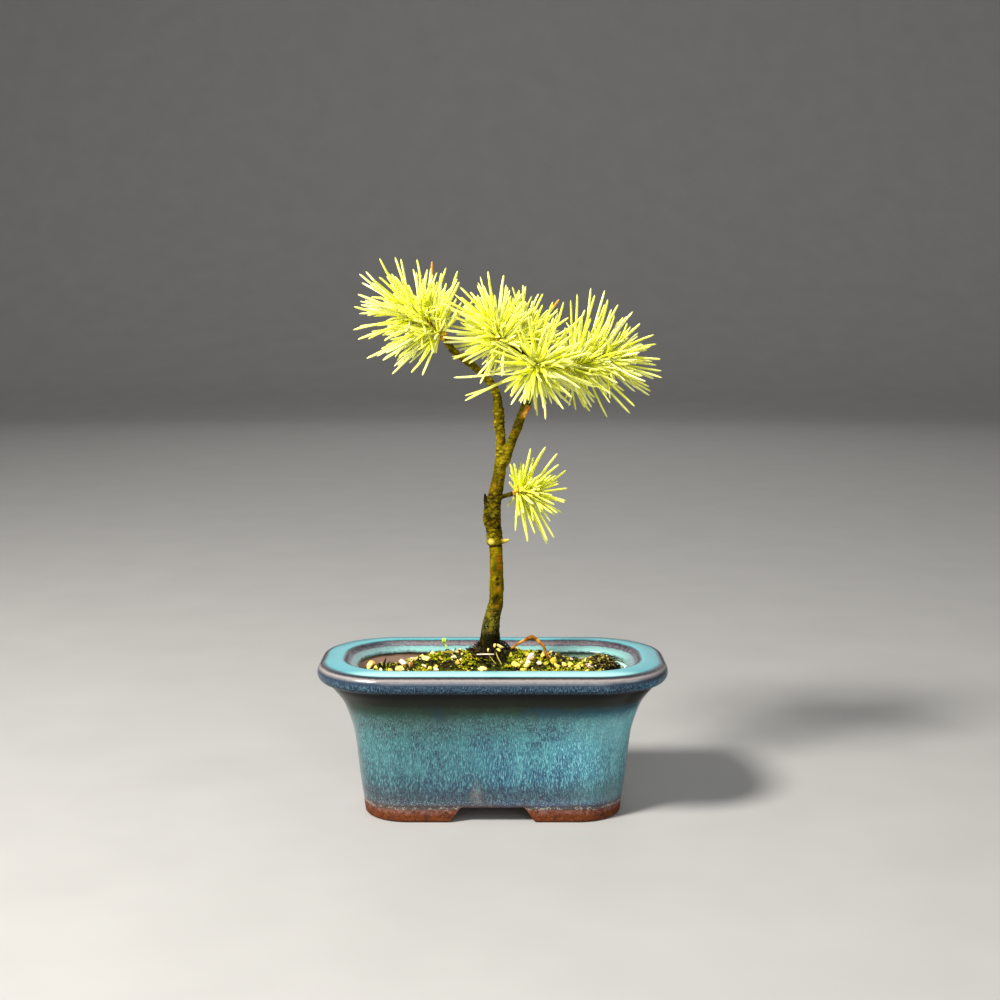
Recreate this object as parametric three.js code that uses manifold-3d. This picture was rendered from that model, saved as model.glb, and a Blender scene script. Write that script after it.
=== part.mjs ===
// Japanese white pine bonsai: a young grafted tree with six tufts of needles, planted in a
// small glazed pot that stands on four feet. Millimetres, +Z up, +X to the right and +Y to
// the back. The origin is the middle of the footprint, on the surface that the pot stands on.
import * as THREE from 'three';
import Module from 'manifold-3d';
import { mergeVertices } from 'three/addons/utils/BufferGeometryUtils.js';

const wasm = await Module();
wasm.setup();

// Driving dimensions
const CLEARANCE = 0.35;
const CORNERS = 4;
const CORNER_STEPS = 8;
const MERGE_TOLERANCE = 1e-4;
const CURVE_TENSION = 0.5;

// Pot plan: a rectangle with large round corners, given by its half length
const RIM_HALF_LENGTH = 67.8;
const RIM_CORNER_RADIUS = 27.7;
const CORNER_GROWTH = 0.62;
const FOOT_LENGTH_OVER_DEPTH = 29.8;
const RIM_LENGTH_OVER_DEPTH = 33.1;
const SHOULDER_HEIGHT = 45.6;

// Pot section: [half length, height], up the outside, over the lip and down the inside
const POT_OUTSIDE = [
  [52.2, 0], [52.9, 6.2], [54.0, 14], [55.1, 24], [56.3, 33], [57.9, 39],
  [60.3, SHOULDER_HEIGHT], [62.7, 49.6], [65.4, 53.2], [66.6, 55.2],
];
const POT_LIP = [
  [69.0, 55.9], [70.2, 57.3], [70.5, 59.0], [70.0, 61.0], [RIM_HALF_LENGTH, 62.5],
  [61.3, 63.3], [59.6, 62.9], [58.7, 61.7], [56.4, 60.7], [54.6, 59.8], [54.2, 58.8],
];
const POT_INSIDE = [
  [56.3, 57.0], [56.3, SHOULDER_HEIGHT], [53.9, 39], [52.3, 33], [51.1, 24], [50.0, 14],
  [48.6, 11.4],
];
const POT_FLOOR = [46.5, 10.5];

// Feet: a ring under the pot, hollowed in the middle and cut by an arch in each side
const FOOT_HEIGHT = 6.0;
const FOOT_RING_WIDTH = 7.0;
const LONG_ARCH = { bottom: 34.6, top: 25.2, height: FOOT_HEIGHT };
const SHORT_ARCH = { bottom: 17, top: 12, height: FOOT_HEIGHT };
const CUT_BELOW = 1;
const CUTTER_LENGTH = 4 * RIM_HALF_LENGTH;

// Two drain holes in the floor, each under a square of drainage mesh
const DRAIN_SPACING = 48;
const DRAIN_RADIUS = 6.0;
const DRAIN_SEGMENTS = 16;
const SCREEN_SIZE = 18;
const SCREEN_THICKNESS = 1.0;
const SCREEN_BAR = 1.8;
const SCREEN_BARS = 4;

// Soil: low at the pot wall, heaped round the trunk, with a small heap on the right
const SOIL_EDGE_HEIGHT = 55.2;
const SOIL_HEAP = { height: 10.8, halfLength: 40, halfDepth: 16 };
const SIDE_HEAP = { height: 5.0, x: 45, y: -3, radius: 8 };
const SOIL_RIPPLE = { height: 0.35, alongX: 0.41, phase: 1.3, alongY: 0.53, skew: 0.17 };
const SOIL_RINGS = [0.8, 0.58, 0.36, 0.16];
const GRIT = { count: 34, halfLength: 50, halfDepth: 18, smallest: 1.4, largest: 2.4 };
const GRIT_FORM = [1, 0.85, 0.7];
const GRIT_LIFT = 0.1;
const GRIT_CLEAR_OF_TRUNK = 8.5;
const GRIT_CLEAR_OF_ROOT = 3.4;

// Tree limbs: [x, y, z, radius] from root to tip
const BURIED_SECTIONS = 6;
const TRUNK = [
  [-0.4, 0, 40, 1.8], [-0.7, 0, 50, 3.2], [-1.1, 0, 60, 4.6], [-1.2, 0, 66, 4.5],
  [-1.1, 0, 69, 4.1], [-0.6, 0, 75.4, 3.6], [0.3, 0, 80.5, 3.2], [1.4, 0, 85.7, 2.9],
  [1.6, 0, 94, 2.9], [1.55, 0, 102, 2.65], [1.3, 0, 107.4, 2.7], [1.1, 0, 108.9, 3.1],
  [0.9, 0, 111, 3.2], [0.3, 0, 115.5, 3.2], [-0.2, 0, 119, 3.6], [0.0, 0, 123.5, 3.4],
  [0.7, 0, 127.5, 2.95], [1.5, 0, 131, 2.8], [2.3, 0, 135, 2.6], [2.9, 0, 139, 2.6],
  [3.4, 0, 143, 2.5],
];
const LEFT_LEADER = [
  [3.1, 0, 140, 2.0], [3.2, 0.4, 145, 1.9], [3.3, 1.0, 151, 1.9], [2.7, 1.4, 157, 2.1],
  [2.3, 1.5, 163, 2.1], [1.1, 1.2, 170.5, 1.7], [-3.0, 0.8, 176.2, 1.5],
  [-8.8, 0.4, 181.3, 1.4], [-15.0, 0, 186.0, 1.4], [-18.8, 0, 191.2, 1.5],
];
const RIGHT_LEADER = [
  [4.0, -0.3, 141, 2.2], [5.6, -0.8, 145, 2.3], [7.9, -1.3, 151, 1.8],
  [10.1, -1.7, 157, 2.0], [12.2, -2.0, 162.5, 1.8], [14.0, -2.0, 167, 1.6],
  [15.3, -1.6, 173, 1.6], [16.6, -1.2, 180, 1.6],
];
const FRONT_TWIG = [[16.5, -1.2, 179.2, 1.5], [16.8, -2.6, 180.4, 1.4], [17.0, -4.2, 180.9, 1.4]];
const MIDDLE_TWIG = [
  [16.2, -1.4, 178.6, 1.4], [13.4, -2.6, 183.2, 1.3], [10.2, -4.2, 186.9, 1.2],
  [7.2, -5.0, 188.7, 1.2],
];
const RIGHT_TWIG = [
  [16.2, -1.2, 178.4, 1.5], [20.6, 0.6, 179.6, 1.4], [26.0, 2.6, 180.0, 1.4],
];
const BACK_TWIG = [
  [16.3, -1.0, 178.8, 1.4], [15.6, 3.6, 183.0, 1.3], [14.4, 7.6, 185.6, 1.3],
];
const LOW_TWIG = [[1.6, -0.6, 127.4, 1.1], [4.6, -1.4, 128.5, 0.9], [8.0, -2.0, 129.5, 0.9]];
const CUT_STUB = [[1.6, -1.2, 109.9, 1.0], [4.4, -1.8, 110.3, 0.8], [6.3, -2.0, 110.8, 0.6]];
const DRY_STUB = [[11.6, -2.2, 158.5, 0.9], [13.3, -2.7, 162.0, 0.8], [14.6, -3.0, 164.2, 0.7]];
const BUD_SPUR = [[-0.4, -0.6, 122.6, 1.2], [-2.6, -1.0, 126.2, 1.0], [-3.1, -1.1, 129.2, 0.6]];
const ARCHED_ROOT = [
  [1.0, -1.6, 60, 1.2], [4.6, -4.0, 64.2, 0.9], [7.6, -4.0, 66.8, 0.85],
  [12.2, -4.0, 69.7, 0.8], [15.9, -4.0, 71.0, 1.0], [19.2, -4.0, 69.0, 0.8],
  [21.2, -4.0, 66.0, 0.8], [22.4, -4.0, 61.5, 0.7], [22.8, -4.0, 56.5, 0.5],
];
const SURFACE_ROOTS = [
  [[-2.4, -1.4, 65.4, 1.5], [-6.0, -4.0, 64.6, 1.1], [-9.0, -6.4, 60.0, 0.6]],
  [[1.0, -2.4, 66.0, 1.1], [4.2, -6.6, 64.2, 0.8], [6.0, -9.4, 60.0, 0.5]],
  [[0.4, 2.6, 65.6, 1.4], [3.0, 6.6, 63.6, 1.0], [4.4, 10.0, 59.0, 0.6]],
];
const LIMBS = [
  { line: TRUNK, sides: 12, steps: 1 },
  { line: LEFT_LEADER, sides: 8, steps: 2 },
  { line: RIGHT_LEADER, sides: 8, steps: 1 },
  { line: FRONT_TWIG, sides: 6, steps: 1 },
  { line: MIDDLE_TWIG, sides: 6, steps: 1 },
  { line: RIGHT_TWIG, sides: 6, steps: 2 },
  { line: BACK_TWIG, sides: 6, steps: 1 },
  { line: LOW_TWIG, sides: 6, steps: 1 },
  { line: CUT_STUB, sides: 5, steps: 1 },
  { line: DRY_STUB, sides: 5, steps: 1 },
  { line: BUD_SPUR, sides: 5, steps: 1 },
];
const ROOTS = [ARCHED_ROOT, ...SURFACE_ROOTS].map((line) => ({ line, sides: 6, steps: 1 }));
const LIMB_SIDEWAYS = [1, 0.13, 0.07];

// Needles: five to a bundle, of which the solid model holds two
const NEEDLES_PER_BUNDLE = 5;
const MODELLED_NEEDLES = [0, 2];
const NEEDLE_RADIUS = 0.62;
const NEEDLE_TIP_RADIUS = 0.45;
const NEEDLE_SIDES = 3;
const NEEDLE_SIDEWAYS = [0.2, 0.5, -0.84];
const BUNDLE_SIDEWAYS = [0.31, 0.83, -0.46];
const BUNDLE_SPREAD = { least: 4.5, most: 9.5 };
const TIP_REACH = { least: 0.94, most: 1.04 };
const FILL_REACH = { least: 0.84, most: 1.0 };
const OWN_REACH = { least: 0.93, most: 1.0 };
const TIP_SLACK = 1.03;
const FILL_FROM_DEPTH = 0.3;
const SHOOT_MIDDLE = 0.6;
const NEEDLE_KEEP_APART = 1.6;
const OWN_APART = 1.0;
const HIDDEN_LENGTH = 2.7;
const COLLAR_LENGTH = 1.6;
const CORE_SIDES = 6;
const CORE_RADIUS = 2.1;
const CORE_RADII = [[0, 1.4], [0.5, CORE_RADIUS], [1, CORE_RADIUS]];
const CORE_TIP_RADIUS = 1.2;
const BUD_LENGTH = 1.6;
const REACH_LIMIT = { x: 69.5, y: 37.0 };
const FIRST_FOOT_DISTANCE = 3.2;
const WIDEST_TURN = 2.0;
const FOOT_OFFSET = 0.65;
const GOLDEN_ANGLE = Math.PI * (3 - Math.sqrt(5));
const SEEDS = { tip: 0.3, fill: 0.7, spread: 0.11, turn: 0.57, length: 0.19, stone: 0.5 };

// Bends tried, in degrees, until a needle is clear of the other sprays
const BENDS = [0, 5, 5, 5, 5, 10, 10, 10, 10, 16, 16, 16, 16];

// Sprays: the shoot's line, the needle length, the bundle tips [x, z] that make the outline
// seen from the front, and the count of bundles that fill its front and back
const SPRAYS = [
  {
    name: 'needles_front',
    carrier: FRONT_TWIG,
    shoot: [[17.1, -9.0, 181.2], [17.3, -13.0, 181.0]],
    reach: 25,
    tips: [
      [-13.8, 172.0], [-2.5, 179.0], [9.6, 170.1], [15.1, 163.4], [20.6, 161.9],
      [23.7, 166.6], [27.2, 168.9], [33.8, 166.2], [41.2, 172.4], [34.3, 204.5],
      [25.0, 206.4], [6.0, 199.0], [38.0, 190.0],
    ],
    fill: 34,
  },
  {
    name: 'needles_right',
    carrier: RIGHT_TWIG,
    shoot: [[33.0, 4.0, 180.3], [39.8, 4.2, 181.9], [46.2, 4.2, 184.3]],
    reach: 24,
    tips: [
      [36.8, 209.2], [44.3, 211.2], [47.5, 207.2], [51.2, 202.1], [56.0, 199.3],
      [60.4, 196.6], [63.2, 192.2], [66.1, 187.0], [65.4, 181.5], [67.0, 177.1],
      [65.9, 171.9], [63.2, 166.7], [56.4, 161.0], [39.5, 162.2], [35.5, 167.9],
    ],
    fill: 40,
  },
  {
    name: 'needles_middle',
    carrier: MIDDLE_TWIG,
    shoot: [[3.4, -5.2, 190.2], [2.2, -5.4, 193.4], [1.8, -5.6, 196.4]],
    reach: 23,
    tips: [
      [-7.2, 217.3], [-3.3, 218.1], [-13.1, 210.7], [-9.2, 209.6], [-19.7, 209.6],
      [-18.6, 199.4], [-19.8, 192.8], [-19.9, 187.3], [-14.0, 181.8], [5.3, 212.0],
      [14.0, 206.0],
    ],
    fill: 34,
  },
  {
    name: 'needles_back',
    carrier: BACK_TWIG,
    shoot: [[13.2, 9.8, 189.0], [11.9, 11.4, 193.4]],
    reach: 23,
    tips: [
      [4.6, 212.0], [8.6, 212.4], [13.4, 213.2], [18.6, 211.6], [24.7, 208.8],
      [27.1, 202.1], [31.0, 193.0], [-8.0, 201.0],
    ],
    fill: 34,
  },
  {
    name: 'needles_left',
    carrier: LEFT_LEADER,
    shoot: [[-23.2, 0, 195.4], [-27.6, -0.4, 198.4], [-33.0, -0.6, 201.4]],
    reach: 26,
    tips: [
      [-44.7, 222.8], [-34.8, 223.6], [-25.8, 221.3], [-21.5, 220.1], [-13.6, 217.4],
      [-54.6, 213.9], [-44.4, 215.4], [-54.0, 205.3], [-55.2, 198.6], [-55.7, 193.9],
      [-51.8, 186.8], [-43.1, 184.8], [-42.4, 179.7], [-32.8, 177.3], [-10.0, 202.0],
    ],
    fill: 44,
  },
  {
    name: 'needles_low',
    carrier: LOW_TWIG,
    shoot: [[11.4, -2.2, 130.4], [16.4, -2.4, 129.8]],
    reach: 15,
    tips: [
      [8.6, 141.0], [13.0, 140.3], [17.5, 148.0], [23.9, 146.7], [28.9, 141.0],
      [31.6, 131.4], [29.4, 125.6], [26.6, 119.4], [24.4, 111.8], [16.7, 107.5],
      [14.2, 110.3],
    ],
    fill: 22,
  },
];

// Colours and finishes
const FINISHES = {
  pot: { color: '#5fa9ad', roughness: 0.22, metalness: 0 },
  screen: { color: '#2b2b2b', roughness: 0.6, metalness: 0 },
  soil: { color: '#6b5a3a', roughness: 0.95, metalness: 0 },
  tree: { color: '#6f6a2c', roughness: 0.85, metalness: 0 },
  needles: { color: '#bfd04a', roughness: 0.45, metalness: 0 },
};

// Solids
function solidOf(geometry) {
  const bare = geometry.index ? geometry.toNonIndexed() : geometry.clone();
  bare.deleteAttribute('normal');
  bare.deleteAttribute('uv');
  const merged = mergeVertices(bare, MERGE_TOLERANCE);
  return new wasm.Manifold(new wasm.Mesh({
    numProp: 3,
    vertProperties: new Float32Array(merged.attributes.position.array),
    triVerts: new Uint32Array(merged.index.array),
  }));
}

function geometryOf(solid) {
  const mesh = solid.getMesh();
  const geometry = new THREE.BufferGeometry();
  const points = new Float32Array(mesh.vertProperties);
  geometry.setAttribute('position', new THREE.BufferAttribute(points, 3));
  geometry.setIndex(new THREE.BufferAttribute(new Uint32Array(mesh.triVerts), 1));
  geometry.computeVertexNormals();
  return geometry;
}

function joined(solids) {
  let layer = solids;
  while (layer.length > 1) {
    const next = [];
    for (let i = 0; i < layer.length; i += 2) {
      next.push(i + 1 < layer.length ? layer[i].add(layer[i + 1]) : layer[i]);
    }
    layer = next;
  }
  return layer[0];
}

// A closed skin through rings of equal count, each ring counter-clockwise about the way up
function skin(rings) {
  const count = rings[0].length;
  const points = rings.flat();
  const bottom = points.length;
  const top = bottom + 1;
  for (const ring of [rings[0], rings[rings.length - 1]]) {
    const middle = new THREE.Vector3();
    ring.forEach((point) => middle.add(point));
    points.push(middle.divideScalar(count));
  }
  const faces = [];
  const last = (rings.length - 1) * count;
  for (let j = 0; j < count; j += 1) {
    const k = (j + 1) % count;
    faces.push(bottom, k, j);
    faces.push(top, last + j, last + k);
    for (let i = 0; i < rings.length - 1; i += 1) {
      const low = i * count;
      const high = low + count;
      faces.push(low + j, low + k, high + k);
      faces.push(low + j, high + k, high + j);
    }
  }
  const geometry = new THREE.BufferGeometry().setFromPoints(points);
  geometry.setIndex(faces);
  return geometry;
}

// Repeatable scatter between 0 and 1
const SCATTER = { step: 12.9898, shift: 4.1414, gain: 43758.5453 };

function scatter(seed) {
  const wave = Math.sin(seed * SCATTER.step + SCATTER.shift) * SCATTER.gain;
  return wave - Math.floor(wave);
}

function curveThrough(points) {
  return new THREE.CatmullRomCurve3(points, false, 'catmullrom', CURVE_TENSION);
}

function vectorOf([x, y, z]) {
  return new THREE.Vector3(x, y, z);
}

function between(low, high, share) {
  return low + (high - low) * share;
}

// Pot
function depthOf(halfLength, height) {
  const share = Math.min(Math.max(height / SHOULDER_HEIGHT, 0), 1);
  return halfLength - between(FOOT_LENGTH_OVER_DEPTH, RIM_LENGTH_OVER_DEPTH, share);
}

function planRing(halfLength, height, scale = 1) {
  const halfDepth = depthOf(halfLength, height);
  const radius = RIM_CORNER_RADIUS - (RIM_HALF_LENGTH - halfLength) * CORNER_GROWTH;
  const ring = [];
  for (let corner = 0; corner < CORNERS; corner += 1) {
    const signX = corner === 0 || corner === CORNERS - 1 ? 1 : -1;
    const signY = corner < CORNERS / 2 ? 1 : -1;
    for (let step = 0; step <= CORNER_STEPS; step += 1) {
      const angle = (corner + step / CORNER_STEPS) * Math.PI / 2;
      const x = signX * (halfLength - radius) + radius * Math.cos(angle);
      const y = signY * (halfDepth - radius) + radius * Math.sin(angle);
      ring.push(new THREE.Vector3(x * scale, y * scale, height));
    }
  }
  return ring;
}

function archCutter(arch) {
  const outline = new THREE.Shape();
  const lean = (arch.bottom - arch.top) / 2 / arch.height;
  outline.moveTo(-arch.bottom / 2 - lean * CUT_BELOW, -CUT_BELOW);
  outline.lineTo(arch.bottom / 2 + lean * CUT_BELOW, -CUT_BELOW);
  outline.lineTo(arch.top / 2, arch.height);
  outline.lineTo(-arch.top / 2, arch.height);
  const cutter = new THREE.ExtrudeGeometry(outline, { depth: CUTTER_LENGTH, bevelEnabled: false });
  cutter.translate(0, 0, -CUTTER_LENGTH / 2);
  cutter.rotateX(Math.PI / 2);
  return cutter;
}

function makePot() {
  const profile = [...POT_OUTSIDE, ...POT_LIP, ...POT_INSIDE, POT_FLOOR];
  const body = solidOf(skin(profile.map(([halfLength, height]) => planRing(halfLength, height))));
  const ringInside = POT_OUTSIDE[0][0] - FOOT_RING_WIDTH;
  const hollow = solidOf(skin([
    planRing(ringInside, -CUT_BELOW), planRing(ringInside, FOOT_HEIGHT)]));
  const longArch = solidOf(archCutter(LONG_ARCH));
  const shortArch = solidOf(archCutter(SHORT_ARCH).rotateZ(Math.PI / 2));
  const drains = [-1, 1].map((side) => {
    const hole = new THREE.CylinderGeometry(
      DRAIN_RADIUS, DRAIN_RADIUS, 4 * POT_FLOOR[1], DRAIN_SEGMENTS);
    hole.rotateX(Math.PI / 2);
    hole.translate(side * DRAIN_SPACING / 2, 0, 0);
    return solidOf(hole);
  });
  return body.subtract(joined([hollow, longArch, shortArch, ...drains]));
}

// Drainage mesh: crossed bars
function makeScreen(side) {
  const bars = [];
  const pitch = (SCREEN_SIZE - SCREEN_BAR) / (SCREEN_BARS - 1);
  for (let i = 0; i < SCREEN_BARS; i += 1) {
    const offset = i * pitch - (SCREEN_SIZE - SCREEN_BAR) / 2;
    const alongX = new THREE.BoxGeometry(SCREEN_SIZE, SCREEN_BAR, SCREEN_THICKNESS);
    const alongY = new THREE.BoxGeometry(SCREEN_BAR, SCREEN_SIZE, SCREEN_THICKNESS);
    bars.push(alongX.translate(0, offset, 0), alongY.translate(offset, 0, 0));
  }
  const lift = POT_FLOOR[1] + CLEARANCE + SCREEN_THICKNESS / 2;
  return joined(bars.map((bar) => solidOf(bar.translate(side * DRAIN_SPACING / 2, 0, lift))));
}

// Limbs: a round section that follows a smooth line
function limb(line, sides, steps, extra = 0) {
  const curve = curveThrough(line.map(vectorOf));
  const count = (line.length - 1) * steps;
  const rings = [];
  let across = vectorOf(LIMB_SIDEWAYS);
  for (let i = 0; i <= count; i += 1) {
    const place = i / steps;
    const before = Math.min(Math.floor(place), line.length - 2);
    const radius = between(line[before][3], line[before + 1][3], place - before) + extra;
    const along = curve.getTangent(i / count);
    const centre = curve.getPoint(i / count);
    if (i === 0) centre.addScaledVector(along, -extra);
    if (i === count) centre.addScaledVector(along, extra);
    across = across.clone().addScaledVector(along, -across.dot(along)).normalize();
    const side = new THREE.Vector3().crossVectors(along, across);
    const ring = [];
    for (let j = 0; j < sides; j += 1) {
      const angle = j / sides * 2 * Math.PI;
      ring.push(centre.clone()
        .addScaledVector(across, radius * Math.cos(angle))
        .addScaledVector(side, radius * Math.sin(angle)));
    }
    rings.push(ring);
  }
  return solidOf(skin(rings));
}

function makeTree() {
  return joined([...LIMBS, ...ROOTS].map(({ line, sides, steps }) => limb(line, sides, steps)));
}

// Soil
function soilHeight(x, y) {
  const heap = SOIL_HEAP.height
    * Math.exp(-((x / SOIL_HEAP.halfLength) ** 4) - (y / SOIL_HEAP.halfDepth) ** 2);
  const sideHeap = SIDE_HEAP.height
    * Math.exp(-((x - SIDE_HEAP.x) ** 2 + (y - SIDE_HEAP.y) ** 2) / SIDE_HEAP.radius ** 2);
  const ripple = SOIL_RIPPLE.height * Math.sin(x * SOIL_RIPPLE.alongX + SOIL_RIPPLE.phase)
    * Math.cos(y * SOIL_RIPPLE.alongY + x * SOIL_RIPPLE.skew);
  return SOIL_EDGE_HEIGHT + heap + sideHeap + ripple;
}

function gritPieces() {
  const pieces = [];
  for (let i = 0; i < GRIT.count; i += 1) {
    const share = Math.sqrt((i + 0.5) / GRIT.count);
    const angle = i * GOLDEN_ANGLE;
    const x = GRIT.halfLength * share * Math.cos(angle);
    const y = GRIT.halfDepth * share * Math.sin(angle);
    const nearRoot = ROOTS.some(({ line }) => line.some(
      ([rx, ry]) => Math.hypot(x - rx, y - ry) < GRIT_CLEAR_OF_ROOT));
    if (Math.hypot(x - TRUNK[3][0], y) > GRIT_CLEAR_OF_TRUNK && !nearRoot) {
      const radius = between(GRIT.smallest, GRIT.largest, scatter(i));
      const stone = new THREE.IcosahedronGeometry(radius, 0);
      stone.scale(...GRIT_FORM);
      stone.rotateZ(2 * Math.PI * scatter(i + SEEDS.stone));
      stone.translate(x, y, soilHeight(x, y) + GRIT_LIFT * radius);
      pieces.push(solidOf(stone));
    }
  }
  return pieces;
}

function makeSoil() {
  const wall = [[POT_FLOOR[0], POT_FLOOR[1] + CLEARANCE]];
  for (const [halfLength, height] of [...POT_INSIDE].reverse().slice(1, -1)) {
    wall.push([halfLength - CLEARANCE, height + CLEARANCE / 2]);
  }
  const edge = wall[wall.length - 1][0];
  const rings = wall.map(([halfLength, height]) => planRing(halfLength, height));
  for (const scale of [1, ...SOIL_RINGS]) {
    const ring = planRing(edge, SHOULDER_HEIGHT, scale);
    ring.forEach((point) => point.setZ(soilHeight(point.x, point.y)));
    rings.push(ring);
  }
  const ground = joined([solidOf(skin(rings)), ...gritPieces()]);
  const pocketSize = SCREEN_SIZE + 2 * CLEARANCE;
  const pocketHeight = 2 * (SCREEN_THICKNESS + CLEARANCE);
  const pockets = [-1, 1].map((side) => {
    const pocket = new THREE.BoxGeometry(pocketSize, pocketSize, pocketHeight);
    pocket.translate(side * DRAIN_SPACING / 2, 0, POT_FLOOR[1] + CLEARANCE);
    return solidOf(pocket);
  });
  const buried = TRUNK.slice(0, BURIED_SECTIONS);
  const trunkHole = limb(buried, LIMBS[0].sides, LIMBS[0].steps, CLEARANCE);
  const rootHoles = ROOTS.map(({ line, sides, steps }) => limb(line, sides, steps, CLEARANCE));
  return ground.subtract(joined([...pockets, trunkHole, ...rootHoles]));
}

// Needle places: each bundle has its foot on the shoot, its direction and its length
function shootOf(spray) {
  const [before, end] = spray.carrier.slice(-2).map(vectorOf);
  const along = end.clone().sub(before).normalize();
  const start = end.clone().addScaledVector(along, CLEARANCE);
  const collar = start.clone().addScaledVector(along, COLLAR_LENGTH);
  return curveThrough([start, collar, ...spray.shoot.map(vectorOf)]);
}

function chordLength(points) {
  return points.slice(1).reduce((sum, point, i) => sum + point.distanceTo(points[i]), 0);
}

function bundlesOf(spray) {
  const shoot = shootOf(spray);
  const firstFoot = FIRST_FOOT_DISTANCE / chordLength(shoot.points);
  const axis = shoot.getPoint(1).sub(shoot.getPoint(0)).normalize();
  const middle = shoot.getPoint(SHOOT_MIDDLE);
  const bundles = [];
  spray.tips.forEach(([x, z], i) => {
    const reach = spray.reach * between(TIP_REACH.least, TIP_REACH.most, scatter(i + SEEDS.tip));
    const direction = new THREE.Vector3(x - middle.x, 0, z - middle.z);
    bundles.push({ turn: direction.angleTo(axis), tip: [x, z], side: i % 2 ? 1 : -1, reach });
  });
  for (let i = 0; i < spray.fill; i += 1) {
    const y = -1 + 2 * (i + 0.5) / spray.fill;
    const flat = Math.sqrt(1 - y ** 2);
    const angle = i * GOLDEN_ANGLE;
    const direction = new THREE.Vector3(flat * Math.cos(angle), y, flat * Math.sin(angle));
    const turn = direction.angleTo(axis);
    if (Math.abs(y) > FILL_FROM_DEPTH && turn < WIDEST_TURN) {
      const length = spray.reach
        * between(FILL_REACH.least, FILL_REACH.most, scatter(i + SEEDS.fill));
      bundles.push({ turn, direction, length });
    }
  }
  bundles.sort((a, b) => b.turn - a.turn);
  bundles.forEach((bundle, rank) => {
    bundle.foot = shoot.getPoint(between(firstFoot, 1, rank / (bundles.length - 1)));
    if (bundle.tip) {
      const x = bundle.tip[0] - bundle.foot.x;
      const z = bundle.tip[1] - bundle.foot.z;
      const flat = Math.hypot(x, z);
      bundle.length = Math.max(bundle.reach, TIP_SLACK * flat);
      const depth = bundle.side * Math.sqrt(bundle.length ** 2 - flat ** 2);
      bundle.direction = new THREE.Vector3(x, depth, z).normalize();
    }
  });
  return bundles;
}

// The shortest way between two straight stretches; the nearest points settle in two steps
function distanceBetween(a0, a1, b0, b1) {
  const u = a1.clone().sub(a0);
  const v = b1.clone().sub(b0);
  const w = a0.clone().sub(b0);
  const uu = u.dot(u);
  const uv = u.dot(v);
  const vv = v.dot(v);
  const uw = u.dot(w);
  const vw = v.dot(w);
  const whole = uu * vv - uv * uv;
  let s = whole > Number.EPSILON ? (uv * vw - vv * uw) / whole : 0;
  s = THREE.MathUtils.clamp(s, 0, 1);
  const t = THREE.MathUtils.clamp((uv * s + vw) / vv, 0, 1);
  s = THREE.MathUtils.clamp((uv * t - uw) / uu, 0, 1);
  return a0.clone().addScaledVector(u, s).distanceTo(b0.clone().addScaledVector(v, t));
}

// Stretches of wood that needles keep clear of
function woodStretches() {
  const stretches = [];
  for (const { line } of LIMBS) {
    for (let i = 0; i < line.length - 1; i += 1) {
      const apart = Math.max(line[i][3], line[i + 1][3]) + NEEDLE_RADIUS + CLEARANCE;
      const start = vectorOf(line[i]);
      const end = vectorOf(line[i + 1]);
      stretches.push({ spray: '', start, end, apart });
    }
  }
  for (const spray of SPRAYS) {
    const [start, bend, end] = shootOf(spray).getPoints(2);
    const apart = CORE_RADIUS + NEEDLE_RADIUS + CLEARANCE;
    stretches.push({ spray: spray.name, start, end: bend, apart });
    stretches.push({ spray: spray.name, start: bend, end, apart });
  }
  return stretches;
}

function placeNeedles() {
  const taken = woodStretches();
  const placed = {};
  for (const spray of SPRAYS) {
    const own = [];
    bundlesOf(spray).forEach((bundle, index) => {
      const across = vectorOf(BUNDLE_SIDEWAYS).cross(bundle.direction).normalize();
      const side = new THREE.Vector3().crossVectors(bundle.direction, across);
      const spread = between(
        BUNDLE_SPREAD.least, BUNDLE_SPREAD.most, scatter(index + SEEDS.spread));
      const tilt = THREE.MathUtils.degToRad(spread);
      for (const needle of MODELLED_NEEDLES) {
        const turn = (needle / NEEDLES_PER_BUNDLE + scatter(index + SEEDS.turn)) * 2 * Math.PI;
        const length = bundle.length
          * between(OWN_REACH.least, OWN_REACH.most, scatter(index + SEEDS.length * needle));
        const outward = across.clone().multiplyScalar(Math.cos(turn))
          .addScaledVector(side, Math.sin(turn));
        const straight = bundle.direction.clone().multiplyScalar(Math.cos(tilt))
          .addScaledVector(outward, Math.sin(tilt));
        const foot = bundle.foot.clone().addScaledVector(outward, FOOT_OFFSET);
        for (let attempt = 0; attempt < BENDS.length; attempt += 1) {
          const bend = THREE.MathUtils.degToRad(BENDS[attempt]);
          const way = attempt * Math.PI / 2 + index;
          const direction = straight.clone()
            .addScaledVector(across, Math.tan(bend) * Math.cos(way))
            .addScaledVector(side, Math.tan(bend) * Math.sin(way)).normalize();
          const tip = foot.clone().addScaledVector(direction, length);
          const inside = Math.abs(tip.x) < REACH_LIMIT.x && Math.abs(tip.y) < REACH_LIMIT.y;
          const out = foot.clone().addScaledVector(direction, HIDDEN_LENGTH);
          const clear = inside
            && taken.every((other) => other.spray === spray.name
              || distanceBetween(foot, tip, other.start, other.end) > other.apart)
            && own.every((other) => distanceBetween(out, tip, other.out, other.tip) > OWN_APART);
          if (clear) {
            own.push({ foot, out, tip });
            break;
          }
        }
      }
    });
    for (const { foot, tip } of own) {
      taken.push({ spray: spray.name, start: foot, end: tip, apart: NEEDLE_KEEP_APART });
    }
    placed[spray.name] = own;
  }
  return placed;
}

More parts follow.
